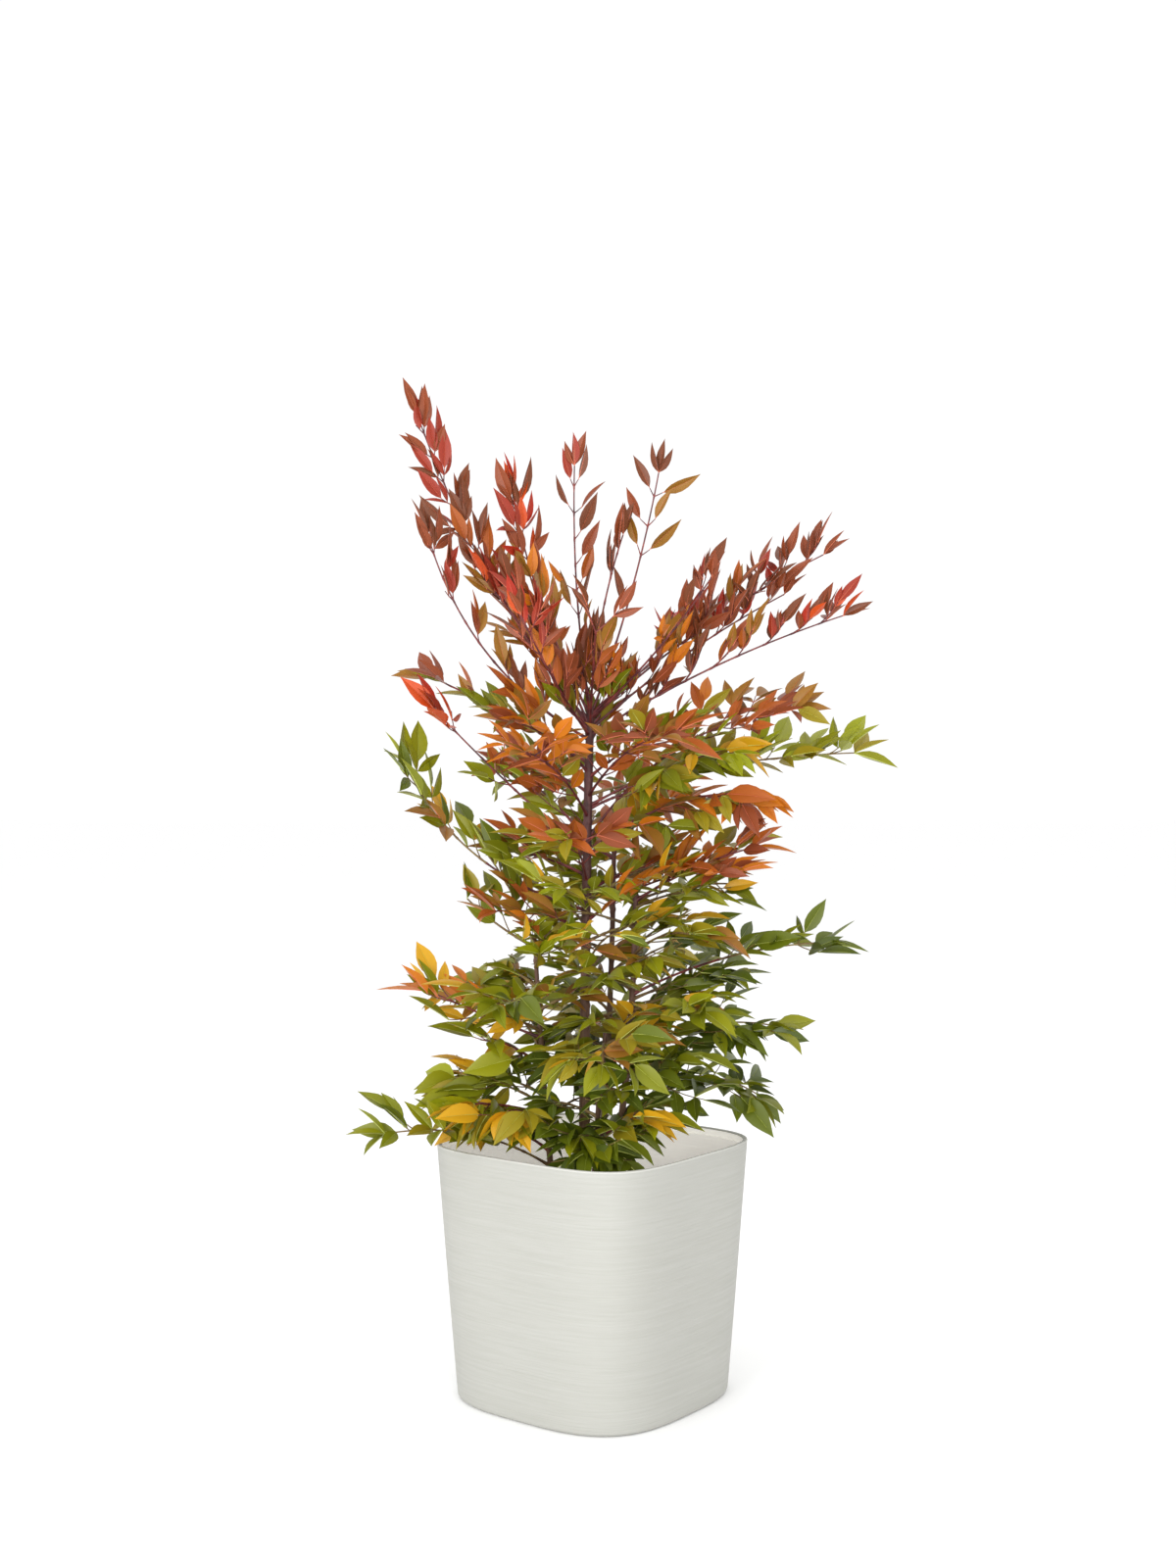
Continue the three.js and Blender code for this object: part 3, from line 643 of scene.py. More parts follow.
# --- Leaf stalks and boughs -------------------------------------------------------------------
# Every compound leaf hangs on one thin stalk, dark red, or green-brown under green leaflets. It
# clasps its cane with a swollen sheath and swells at its joints. The bare lower parts of five
# long stalks are the boughs.
# name, kind, tint, cane, height where it leaves that cane, bearing, reach and height of its tip,
# arch above its chord, roll of its plane about the stalk, and whether its bare part is a bough
LEAVES = [
    ("plume_left_tall", "plume", "bronze", "cane_main", 680, 174, 197, 1044, -20, -70, True),
    ("plume_left", "plume", "bronze", "cane_main", 664, 196, 182, 914, -38, -60, False),
    ("plume_inner_left", "plume", "scarlet", "cane_main", 689, 199, 94, 958, -14, -80, False),
    ("plume_middle", "wisp", "bronze", "cane_main", 694, 114, 44, 996, -22, -50, False),
    ("plume_right", "wisp", "brown", "cane_main", 687, 0, 74, 980, -8, 85, False),
    ("comb_right_high", "comb", "bronze", "cane_main", 684, 6, 276, 874, 14, 10, False),
    ("comb_right_low", "comb", "scarlet", "cane_main", 668, 356, 292, 801, 12, 0, False),
    ("comb_inner_right", "comb", "bronze", "cane_main", 686, 330, 158, 856, -10, 30, False),
    ("plume_front", "comb", "bronze", "cane_main", 678, 272, 182, 816, 10, 0, False),
    ("plume_front_left", "comb", "scarlet", "cane_main", 668, 241, 170, 810, -8, -10, False),
    ("plume_back_left", "comb", "bronze", "cane_main", 680, 125, 215, 866, -8, 0, False),
    ("plume_back_right", "comb", "scarlet", "cane_main", 676, 52, 236, 822, 8, 0, False),
    ("left_scarlet", "sprig", "vivid", "cane_main", 548, 189, 197, 732, -5, -25, True),
    ("left_olive", "sprig", "olive", "cane_main", 640, 169, 219, 750, 6, -20, False),
    ("left_green", "sprig", "green", "cane_main", 490, 177, 214, 692, -40, -30, True),
    ("left_lime", "sprig", "lime", "cane_left", 452, 175, 170, 550, -10, -40, False),
    ("left_amber", "tier", "orange", "cane_main", 468, 205, 163, 480, 18, -20, False),
    ("right_bronze", "tier", "copper", "cane_main", 562, 3, 259, 698, 42, 25, True),
    ("right_lime", "sprig", "lime", "cane_main", 608, 9, 328, 652, 12, 15, False),
    ("right_orange", "drape", "orange", "cane_main", 544, 348, 222, 598, 34, 20, False),
    ("right_ember", "tier", "orange", "cane_main", 478, 337, 205, 525, 27, 10, False),
    ("front_ember_left", "tier", "orange", "cane_main", 585, 248, 218, 650, 20, 0, False),
    ("front_orange", "tier", "russet", "cane_main", 520, 262, 212, 564, 20, 0, False),
    ("front_bronze_right", "tier", "copper", "cane_main", 606, 292, 224, 662, 20, 0, False),
    ("inner_bronze_left", "tier", "copper", "cane_main", 630, 219, 148, 684, 16, 0, False),
    ("inner_orange_right", "tier", "orange", "cane_main", 625, 325, 140, 676, 12, 0, False),
    ("inner_green_right", "skirt", "green", "cane_right", 446, 316, 172, 462, 18, 0, False),
    ("back_olive_left", "tier", "olive", "cane_main", 560, 128, 236, 650, 20, 0, False),
    ("back_orange_right", "tier", "orange", "cane_back", 550, 62, 246, 640, 16, 0, False),
    ("back_lime", "tier", "lime", "cane_main", 505, 98, 214, 548, 20, 0, False),
    ("right_green", "tier", "green", "cane_right", 500, 9, 222, 497, 18, 20, False),
    ("right_green_far", "sprig", "deep", "cane_right", 405, 359, 289, 457, 18, 15, True),
    ("right_green_low", "skirt", "deep", "cane_right", 345, 2, 236, 356, 25, 20, False),
    ("right_green_foot", "skirt", "deep", "cane_right", 300, 12, 212, 262, 36, 10, False),
    ("front_green_middle", "skirt", "green", "cane_main", 430, 280, 206, 476, 18, 0, False),
    ("front_green_right", "skirt", "green", "cane_right", 372, 316, 192, 384, 22, 0, False),
    ("front_green_low", "skirt", "green", "cane_front", 360, 272, 198, 330, 18, 0, False),
    ("front_green_left", "skirt", "green", "cane_left", 385, 233, 186, 396, 16, 0, False),
    ("left_ember_low", "spray", "ember", "cane_left", 360, 184, 219, 434, -2, -15, False),
    ("left_amber_low", "hem", "amber", "cane_left", 330, 200, 178, 371, 14, -20, False),
    ("left_skirt", "hem", "lime", "cane_left", 290, 187, 202, 311, 20, -15, False),
    ("left_far_skirt", "sprig", "green", "cane_left", 228, 202, 270, 268, 26, -20, False),
    ("front_left_skirt", "hem", "amber", "cane_left", 262, 230, 172, 285, 24, 0, False),
    ("front_skirt", "hem", "deep", "cane_front", 248, 259, 156, 262, 24, 0, False),
    ("front_right_skirt", "hem", "amber", "cane_front", 262, 311, 146, 284, 20, 0, False),
    ("back_green_left", "skirt", "green", "cane_left", 345, 134, 222, 404, 24, 0, False),
    ("back_green_right", "skirt", "deep", "cane_back", 410, 46, 238, 436, 24, 0, False),
    ("back_green_low", "skirt", "green", "cane_back", 320, 90, 226, 336, 30, 0, False),
]
# leaflet length, its width as a share, bare share of the stalk, reach of the longest side twig
# and what is left of it at the tip, spacing between pairs of twigs, places of leaflet pairs on a
# twig, size of the leaflets between twigs, how far twigs and leaflets open, fold of the two
# halves, lift of leaflets, their droop, and how far they roll
Kind = namedtuple(
    "Kind",
    "leaflet width bare spread taper spacing places between "
    "open_twig open_leaflet fold lift droop roll",
)
KINDS = {
    "plume": Kind(46, 0.30, 0.13, 19, 0.6, 26, (0.5,), 0, 32, 28, 14, 30, 0.12, 60),
    "wisp": Kind(44, 0.30, 0.13, 15, 0.6, 29, (), 0, 40, 34, 14, 30, 0.12, 60),
    "comb": Kind(41, 0.29, 0.13, 36, 0.8, 30, (0.36, 0.78), 0, 38, 32, 42, 6, 0.10, 90),
    "sprig": Kind(52, 0.35, 0.13, 38, 0.6, 35, (0.62,), 0.85, 46, 40, 20, 4, 0.16, 60),
    "tier": Kind(49, 0.34, 0.13, 55, 0.45, 28.5, (0.36, 0.78), 0.85, 52, 42, 16, 0, 0.20, 60),
    "spray": Kind(58, 0.34, 0.13, 48, 0.6, 30, (0.5,), 0.85, 44, 38, 14, 14, 0.14, 55),
    "drape": Kind(56, 0.37, 0.13, 46, 0.6, 29, (0.40, 0.80), 0.9, 50, 40, -6, -26, 0.20, 60),
    "skirt": Kind(51, 0.40, 0.13, 55, 0.45, 28.5, (0.36, 0.78), 0.85, 54, 44, 6, -10, 0.24, 55),
    "hem": Kind(62, 0.44, 0.13, 54, 0.6, 24, (0.40, 0.80), 0.9, 52, 46, 0, -24, 0.26, 48),
}
BOUGH_SHARE = 0.36
FIRST_PAIR_AT = 0.2
FEWEST_PAIRS = 2
STALK_STEPS = 40  # for measuring a stalk's length
STALK_RADIUS = (1.25, 0.6)
SHEATH_RADIUS = 1.4
SHEATH_LENGTH = 9
JOINT_RISE = 0.5
JOINT_AT_TIP = 0.6  # what is left of a joint's rise at the tip
JOINT_WIDTH = 2.0
STALK_SIDES = 8
STALK_ROW = 2.5
BOUGH_SIDES = 14
BOUGH_SEED = 911
BOUGH_RIDGE = 0.1
BOUGH_RIDGES = 7
BOUGH_TWIST = 0.05
FEWEST_ROWS = 2
FACES_FRONT = 0.9  # beyond it a limb runs so nearly to the front that its rings are set by UP
STALK_GRAIN = ((90, 90, 90), 3)
RED_STALK = ((0.34, (70, 26, 32)), (0.5, (104, 40, 42)), (0.68, (140, 62, 54)))
GREEN_STALK = ((0.34, (84, 62, 40)), (0.5, (118, 92, 52)), (0.68, (136, 118, 62)))
STALK_RELIEF = (0.3, 0.0004)
STALK_ROUGHNESS = 0.48


def stalk_curve(start, tip, bow):
    """The whole stalk of a compound leaf, from the middle of its cane to its tip."""
    chord = unit(tip - start)
    side = unit(np.cross(UP, chord))
    arch = np.cross(chord, side)
    return np.array((start, (start + tip) / 2 + 2 * bow * arch, tip))


def spoke(bearing, reach, height):
    """A place by its bearing, reach and height."""
    angle = math.radians(bearing)
    return np.array((reach * math.cos(angle), reach * math.sin(angle), height))


class Stalk:
    """One compound leaf's stalk: its curve, and where it is bare, ends and carries side twigs.

    The reach of its tip is measured from the plant's middle, and of an inner leaf from its cane.
    """

    def __init__(self, name, kind, tint, cane, height_from, bearing, reach, height, bow, turn, bough):
        self.name, self.tint, self.turn, self.bough = name, tint, turn, bough
        self.kind = KINDS[kind]
        start = on_curve(cane_curve(cane), cane_share(cane, height_from))
        reached_from = start * (1, 1, 0) if name == INNER else 0
        self.curve = stalk_curve(start, reached_from + spoke(bearing, reach, height), bow)
        places = [on_curve(self.curve, share) for share in np.linspace(0, 1, STALK_STEPS + 1)]
        self.length = sum(np.linalg.norm(b - a) for a, b in zip(places, places[1:]))
        at_bark = cane_radius(cane, cane_share(cane, height_from)) / self.length
        self.bare = mix(at_bark, 1, BOUGH_SHARE if bough else self.kind.bare)
        self.end = 1 - self.kind.leaflet / self.length
        self.drawn_to = self.bare
        pairs = max(FEWEST_PAIRS, round(self.length * (self.end - self.bare) / self.kind.spacing))
        self.step = (self.end - self.bare) / pairs
        self.shares = [self.bare + self.step * (pair + FIRST_PAIR_AT) for pair in range(pairs)]

    def radius(self, share):
        """Thickness with the sheath at its foot and a swelling at every joint."""
        from_cane = share * self.length
        radius = mix(*STALK_RADIUS, share) + SHEATH_RADIUS * math.exp(-from_cane / SHEATH_LENGTH)
        for joint in [self.bare, *self.shares]:
            away = (share - joint) * self.length / JOINT_WIDTH
            radius += JOINT_RISE * mix(1, JOINT_AT_TIP, share) * math.exp(-(away**2))
        return radius


def tube(curve, start, stop, radius_at, sides, row, ridge=None):
    """Rings of a limb along part of a curve, square to it."""
    length = np.linalg.norm(on_curve(curve, stop) - on_curve(curve, start))
    rows = max(FEWEST_ROWS, math.ceil(length / row))
    angles = np.linspace(0, 2 * math.pi, sides, endpoint=False)
    rings = []
    for share in np.linspace(start, stop, rows + 1):
        along = along_curve(curve, share)
        across = unit(np.cross(FRONT if abs(along[1]) < FACES_FRONT else UP, along))
        outward = np.cross(along, across)
        radius = radius_at(share) + (ridge(angles, share * length) if ridge else 0)
        spokes = np.outer(np.cos(angles), across) + np.outer(np.sin(angles), outward)
        rings.append(on_curve(curve, share) + spokes * np.reshape(radius, (-1, 1)))
    return rings


def stalk_finish(name, colours):
    material, shader, place = start_finish(name, STALK_ROUGHNESS)
    tone = place.grain(*STALK_GRAIN)
    tone.ramp(*colours).into(shader, "Base Color")
    tone.relief(*STALK_RELIEF).into(shader, "Normal")
    return material


def bark_ridge(phase):
    """Low ridges that wind up a bough, from a phase of its own."""
    return lambda angles, height: BOUGH_RIDGE * np.sin(BOUGH_RIDGES * angles + phase + BOUGH_TWIST * height)


# Short leaves that fill the shrub's middle leave each cane a step apart and a golden angle on.
# cane, heights of the lowest and highest, step between them, reach and rise of their tips
INNER_LEAVES = [
    ("cane_main", 372, 640, 17, 130, 26),
    ("cane_main", 644, 694, 14, 68, 34),
    ("cane_right", 262, 508, 21, 118, 16),
    ("cane_left", 256, 458, 22, 96, 16),
    ("cane_back", 300, 556, 20, 100, 18),
    ("cane_front", 252, 368, 18, 88, 8),
]
# Longer ones fill gaps between the outer leaves: cane, kind, tint, height where they leave it,
# and bearing, reach and height of their tips
LONG_INNER_LEAVES = [
    ("cane_main", "skirt", "green", 498, 12, 134, 548),
    ("cane_right", "sprig", "russet", 500, 352, 170, 566),
    ("cane_right", "skirt", "deep", 400, 350, 150, 428),
    ("cane_left", "sprig", "green", 450, 168, 84, 584),
    ("cane_left", "hem", "amber", 244, 196, 128, 298),
    ("cane_left", "hem", "amber", 280, 217, 150, 300),
    ("cane_front", "hem", "deep", 252, 262, 122, 258),
    ("cane_main", "plume", "scarlet", 672, 175, 150, 872),
    ("cane_main", "plume", "bronze", 676, 204, 120, 856),
    ("cane_main", "drape", "amber", 596, 354, 204, 668),
    ("cane_main", "comb", "scarlet", 674, 2, 236, 832),
    ("cane_main", "plume", "bronze", 690, 350, 50, 916),
    ("cane_main", "comb", "brown", 688, 258, 96, 762),
]
INNER = "inner"  # their name
INNER_BOW = 10
GOLDEN_ANGLE = 137.5
# the height up to which inner leaves are of a kind and tint
INNER_BANDS = [
    (330, "skirt", "deep"),
    (430, "skirt", "green"),
    (500, "tier", "lime"),
    (560, "tier", "olive"),
    (640, "tier", "olive"),
    (700, "plume", "olive"),
]
OPEN_FROM = 520  # above it no short inner leaf grows towards the front
OPEN_BEARINGS = (215, 325)


def inner_stalk(kind, tint, cane, height_from, bearing, reach, height):
    return Stalk(INNER, kind, tint, cane, height_from, bearing, reach, height, INNER_BOW, 0, False)


def inner_stalks():
    rows = [inner_stalk(kind, tint, cane, *places) for cane, kind, tint, *places in LONG_INNER_LEAVES]
    for cane, lowest, highest, step, reach, rise in INNER_LEAVES:
        for count, height in enumerate(range(lowest, highest, step)):
            kind, tint = next(band[1:] for band in INNER_BANDS if height <= band[0])
            bearing = (GOLDEN_ANGLE * count + lowest) % 360
            if height < OPEN_FROM or not OPEN_BEARINGS[0] < bearing < OPEN_BEARINGS[1]:
                rows.append(inner_stalk(kind, tint, cane, height, bearing, reach, height + rise))
    return rows


stalks = [Stalk(*row) for row in LEAVES] + inner_stalks()
red_stalk = stalk_finish("red_stalk", RED_STALK)
green_stalk = stalk_finish("green_stalk", GREEN_STALK)

for order, stalk in enumerate(stalks):
    if stalk.bough:
        ridge = bark_ridge(math.pi * dice(BOUGH_SEED + order)())
        rings = tube(stalk.curve, 0, stalk.bare, stalk.radius, BOUGH_SIDES, STALK_ROW, ridge)
        bough = piece_from("bark_" + stalk.name, np.concatenate(rings), skin(rings), red_stalk, "stalk")
        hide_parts("bough_" + stalk.name)


# --- Side twigs and leaflets ------------------------------------------------------------------
# Each stalk carries pairs of thin side twigs, and each twig a pointed end leaflet with up to two
# pairs below it. What would leave its leaf's own room or touch a limb is left out. Leathery
# leaflets keep to autumn tints by the spray, red and bronze at the top and green near the pot.
TWIG_RADIUS = (0.75, 0.45)
TWIG_SIDES = 5
TWIG_ROW = 12
TWIG_SAG = 0.05
TWIG_ANGLE = 60  # degrees between two faces of a twig that are shaded as one surface
PAIR_BETWEEN = 0.5
LAST_BETWEEN = 0.7  # share of the stalk up to which leaflets also grow between the twigs
JITTER = math.radians(14)
LIFT_JITTER = math.radians(32)
TWIG_LIFT = math.radians(16)
TIP_LEAFLET = 0.85  # size of leaflets at a stalk's tip
PAIR_LEAFLET = 0.8  # size of paired leaflets against the one that ends their twig
TIP_PAIR_LEAFLET = 0.9  # the same at a stalk's tip
LENGTH_JITTER = 0.16
WIDTH_JITTER = 0.12
CURL_JITTER = 0.6
SWAY_JITTER = 0.06
SMALL_LEAFLET = 0.7  # a leaflet that finds no room is tried again at this size
TRIED_ALONG = (0.2, 0.45, 0.7, 1)  # where a leaflet's room is tried along its midrib
WIDEST_AT = 0.42  # and where it is tried at both edges
FIRST_SEED = 101
SEED_STEP = 7919
ROOM_OVERLAP = 26  # how far a leaflet may reach into the next leaf's room
LIMB_MARGIN = 1.5
POT_MARGIN = 5
SOIL_MARGIN = 6
AXIS_STEPS = 14
# Openings that show through the crown from the front, in the plane of the tall cane: left and
# right, foot and top, and how far behind it they keep leaves away
OPENINGS = [
    ((-13, 6), (549, 690), 0),
    ((-206, -152), (752, 862), 400),
    ((-250, -200), (859, 994), 400),
    ((150, 280), (722, 762), 400),
    ((-206, -128), (478, 560), 400),
    ((-200, -105), (340, 362), 400),
    ((-8, 34), (450, 488), 400),
    ((-52, -22), (834, 882), 400),
    ((-34, -12), (748, 790), 400),
    ((152, 196), (500, 532), 400),
    ((-128, -78), (454, 484), 400),
    ((-130, -100), (428, 454), 400),
    ((36, 90), (790, 834), 400),
    ((30, 66), (742, 790), 400),
    ((-6, 24), (780, 828), 400),
    ((-152, -127), (726, 804), 400),
    ((-127, -98), (712, 760), 400),
    ((-152, -104), (636, 674), 400),
    ((202, 242), (328, 372), 400),
    ((-230, -184), (950, 1006), 400),
    ((150, 180), (378, 406), 400),
    ((-240, -196), (224, 252), 400),
    ((-86, -44), (222, 256), 400),
    ((50, 76), (438, 474), 400),
    ((-42, -14), (289, 312), 400),
]
TIP_FROM = 0.55  # share of the stalk beyond which sprays take the tints of its tip
STRAY_TINTS = 0.3  # share of leaflets that take another tint of their palette than their spray
BELOW_ONE = 0.9999  # keeps the pick of a tint within its list

# tint: colour, the material slot it belongs to, and the tint of its midribs
TINTS = {
    "coral": ((144, 48, 30), "foliage_scarlet", "red"),
    "scarlet": ((162, 41, 22), "foliage_scarlet", "red"),
    "flame": ((190, 72, 26), "foliage_scarlet", "red"),
    "rust": ((160, 82, 28), "foliage_orange", "red"),
    "bronze": ((132, 65, 36), "foliage_bronze", "red"),
    "umber": ((110, 60, 35), "foliage_bronze", "red"),
    "khaki": ((142, 98, 33), "foliage_olive", "red"),
    "orange": ((190, 108, 22), "foliage_orange", "red"),
    "amber": ((196, 148, 26), "foliage_amber", "pale"),
    "olive": ((140, 125, 25), "foliage_olive", "pale"),
    "lime": ((142, 147, 18), "foliage_lime", "pale"),
    "leaf_green": ((129, 130, 15), "foliage_green", "pale"),
    "grass": ((114, 118, 15), "foliage_green", "pale"),
    "deep": ((88, 98, 12), "foliage_deep", "pale"),
    "pine": ((70, 82, 15), "foliage_deep", "pale"),
}
# palettes of the leaves whose stalks are red
RED_TINTS = "scarlet vivid bronze brown copper orange ember russet olive amber".split()
# tints of a stalk's sprays, near the cane and at the tip, each as often as it is listed
PALETTES = {
    "vivid": ("rust bronze khaki leaf_green", "flame coral flame scarlet flame"),
    "scarlet": ("rust bronze khaki orange umber bronze", "scarlet bronze coral flame bronze umber"),
    "bronze": ("bronze rust khaki umber khaki rust orange", "bronze coral bronze umber coral bronze umber"),
    "brown": ("bronze khaki umber rust", "umber khaki bronze umber khaki"),
    "copper": ("khaki rust olive leaf_green orange khaki", "khaki bronze rust olive khaki"),
    "orange": ("orange olive rust khaki orange grass", "orange rust orange bronze khaki orange"),
    "russet": ("olive rust khaki grass orange", "rust khaki bronze orange olive"),
    "ember": ("orange leaf_green amber", "amber orange amber orange amber"),
    "amber": ("leaf_green olive amber grass", "amber lime amber amber olive amber"),
    "olive": ("olive leaf_green khaki grass rust", "olive khaki lime leaf_green bronze"),
    "lime": ("leaf_green amber grass olive lime", "lime leaf_green lime olive lime"),
    "green": (
        "grass leaf_green olive grass amber leaf_green deep khaki",
        "leaf_green grass olive grass deep leaf_green",
    ),
    "deep": ("deep pine grass deep", "deep grass deep leaf_green pine"),
}

# Every stalk and limb as straight stretches, for measuring how far a point lies from them.
axis_points = np.array(
    [[on_curve(stalk.curve, i / AXIS_STEPS) for i in range(AXIS_STEPS + 1)] for stalk in stalks]
)
limb_points = np.array(
    [[on_curve(cane_curve(name), i / AXIS_STEPS) for i in range(AXIS_STEPS + 1)] for name in CANES]
)
limb_radii = np.array([CANES[name][3][0] for name in CANES])


def distances(points, lines):
    """The distance of each point from each line of stretches."""
    start = lines[:, :-1]
    stretch = lines[:, 1:] - start
    offset = points[:, None, None] - start
    share = (offset * stretch).sum(-1) / (stretch**2).sum(-1)
    nearest = start + stretch * np.clip(share, 0, 1)[..., None]
    return np.linalg.norm(points[:, None, None] - nearest, axis=-1).min(-1)


def clear_of_planter(point):
    x, y, z = point
    if z > POT_HEIGHT + POT_MARGIN:
        return True
    wall_middle = (pot_half(z) - POT_WALL / 2) * squareness(math.atan2(y, x), z)
    from_wall = math.hypot(x, y) - wall_middle
    if abs(from_wall) < POT_WALL / 2 + POT_MARGIN:
        return False
    return from_wall > 0 or z > SOIL_TOP + SOIL_MARGIN


def in_opening(point):
    """Whether a place shows from the front within one of the openings."""
    nearer = CAMERA_DISTANCE / (CAMERA_DISTANCE + point[1])
    x = CAMERA_SIDE + (point[0] - CAMERA_SIDE) * nearer
    z = CAMERA_HEIGHT + (point[2] - CAMERA_HEIGHT) * nearer
    return any(
        left < x < right and foot < z < top and point[1] < back
        for (left, right), (foot, top), back in OPENINGS
    )


def fits(points, order):
    """Whether points lie in a leaf's own room, clear of limbs and planter.

    The second, near a leaflet's middle or at a twig's tip, is also clear of the openings.
    """
    if in_opening(points[1]):
        return False
    points = np.array(points)
    away = distances(points, axis_points)
    own = away[:, order] - ROOM_OVERLAP
    if (own[:, None] > np.delete(away, order, axis=1)).any():
        return False
    if (distances(points, limb_points) < limb_radii + LIMB_MARGIN).any():
        return False
    return all(clear_of_planter(point) for point in points)


def turned(vector, axis, angle):
    """A vector turned about an axis."""
    cos, sin = math.cos(angle), math.sin(angle)
    return vector * cos + np.cross(axis, vector) * sin + axis * (axis @ vector) * (1 - cos)


def leaf_frame(along, turn):
    """Along the stalk, out to its left side, and out of the leaf's plane, rolled by a turn."""
    side = unit(np.cross(UP, along))
    face = np.cross(along, side)
    return along, turned(side, along, turn), turned(face, along, turn)


def frame_on(along, facing):
    """The same on a side twig, whose leaflets keep to the plane of the leaf."""
    side = unit(np.cross(facing, along))
    return along, side, np.cross(along, side)


def opened(frame_here, hand, opening, fold):
    """A direction that opens from the stalk to one side, with that half folded up."""
    along, side, face = frame_here
    out = side * hand * math.cos(fold) + face * math.sin(fold)
    return along * math.cos(opening) + out * math.sin(opening)


def twig_colour(stalk):
    return "red" if stalk.tint in RED_TINTS else "green"


twigs = {"red": [], "green": []}
leaflets = {tint: [] for tint in TINTS}


class Growth:
    """Grows the side twigs and leaflets of one compound leaf."""

    def __init__(self, stalk, order):
        self.stalk, self.order = stalk, order
        self.roll = dice(FIRST_SEED + SEED_STEP * order)
        self.grown = 0
        self.share = 0
        self.twigs = twigs[twig_colour(stalk)]

    def jitter(self):
        return JITTER * self.roll()

    def tint_at(self, share):
        """A tint for what grows at a share of the stalk."""
        self.share = share
        near_cane, at_tip = PALETTES[self.stalk.tint]
        palette = (at_tip if share > TIP_FROM else near_cane).split()
        return palette[int((self.roll() + 1) / 2 * len(palette) * BELOW_ONE)]

    def add_leaflet(self, root, heading, face, size, tint):
        kind, roll = self.stalk.kind, self.roll
        rise = math.sin(math.radians(kind.lift) + LIFT_JITTER * roll())
        along = unit(heading + UP * rise)
        rolled = turned(face, along, math.radians(kind.roll) * roll())
        across = unit(np.cross(rolled, along))
        full = kind.leaflet * size * (1 + LENGTH_JITTER * roll())
        width = kind.width * (1 + WIDTH_JITTER * roll())
        curl = kind.droop * (1 + CURL_JITTER * roll())
        sway = SWAY_JITTER * roll()
        for length in (full, full * SMALL_LEAFLET):
            midrib = [root + along * length * share for share in TRIED_ALONG]
            middle = root + along * length * WIDEST_AT
            edges = [middle + across * side * length * width / 2 for side in (-1, 1)]
            if fits(midrib + edges, self.order):
                if roll() > 1 - 2 * STRAY_TINTS:
                    tint = self.tint_at(self.share)
                leaflets[tint].append((root, along, across, length, width, curl, sway))
                self.grown += 1
                return

    def add_pair(self, root, frame_here, size, tint):
        for hand in (-1, 1):
            opening = math.radians(self.stalk.kind.open_leaflet) + self.jitter()
            heading = opened(frame_here, hand, opening, math.radians(self.stalk.kind.fold))
            self.add_leaflet(root, heading, frame_here[2], size, tint)

    def add_twig(self, root, frame_here, hand, reach, size, tint):
        kind = self.stalk.kind
        opening = math.radians(kind.open_twig) + self.jitter()
        heading = opened(frame_here, hand, opening, math.radians(kind.fold))
        heading = unit(heading + UP * math.sin(TWIG_LIFT * self.roll()))
        tip = root + heading * reach
        if not fits([(root + tip) / 2, tip], self.order):
            return
        middle = (root + tip) / 2 - frame_here[2] * reach * 2 * TWIG_SAG
        curve = np.array((root, middle, tip))
        twig_frame = frame_on(heading, frame_here[2])
        before = self.grown
        self.add_leaflet(tip, heading, frame_here[2], size, tint)
        for place in kind.places:
            self.add_pair(on_curve(curve, place), twig_frame, PAIR_LEAFLET * size, tint)
        if self.grown > before:
            self.twigs.append(curve)

    def grow(self):
        stalk = self.stalk
        for pair, share in enumerate(stalk.shares):
            turn = math.radians(stalk.turn) + self.jitter()
            frame_here = leaf_frame(along_curve(stalk.curve, share), turn)
            reach = stalk.kind.spread * mix(1, stalk.kind.taper, pair / len(stalk.shares))
            size = mix(1, TIP_LEAFLET, share)
            root = on_curve(stalk.curve, share)
            before = self.grown
            for hand in (-1, 1):
                self.add_twig(root, frame_here, hand, reach, size, self.tint_at(share))
            if self.grown > before:
                stalk.drawn_to = share
            before = self.grown
            if stalk.kind.between and share < LAST_BETWEEN:
                between = share + PAIR_BETWEEN * stalk.step
                root = on_curve(stalk.curve, between)
                self.add_pair(root, frame_here, stalk.kind.between * size, self.tint_at(share))
                if self.grown > before:
                    stalk.drawn_to = between
        end_frame = leaf_frame(along_curve(stalk.curve, stalk.end), math.radians(stalk.turn))
        tint, root = self.tint_at(1), on_curve(stalk.curve, stalk.end)
        before = self.grown
        self.add_leaflet(root, end_frame[0], end_frame[2], TIP_LEAFLET, tint)
        self.add_pair(root, end_frame, TIP_PAIR_LEAFLET * TIP_LEAFLET, tint)
        if self.grown > before:
            stalk.drawn_to = stalk.end


for order, stalk in enumerate(stalks):
    Growth(stalk, order).grow()


def joined(tubes):
    """Points and faces of many tubes as one mesh."""
    points, faces = [], []
    for rings in tubes:
        faces += skin(rings, len(points))
        points.extend(np.concatenate(rings))
    return points, faces


def twig_radius(share):
    return mix(*TWIG_RADIUS, share)


for colour, finish in (("red", red_stalk), ("green", green_stalk)):
    tubes = []
    for stalk in stalks:
        if twig_colour(stalk) == colour and stalk.drawn_to > stalk.bare:
            start = stalk.bare if stalk.bough else 0
            tubes.append(tube(stalk.curve, start, stalk.drawn_to, stalk.radius, STALK_SIDES, STALK_ROW))
    tubes += [tube(curve, 0, 1, twig_radius, TWIG_SIDES, TWIG_ROW) for curve in twigs[colour]]
    piece_from("twigs_" + colour, *joined(tubes), finish, "stalk", TWIG_ANGLE)

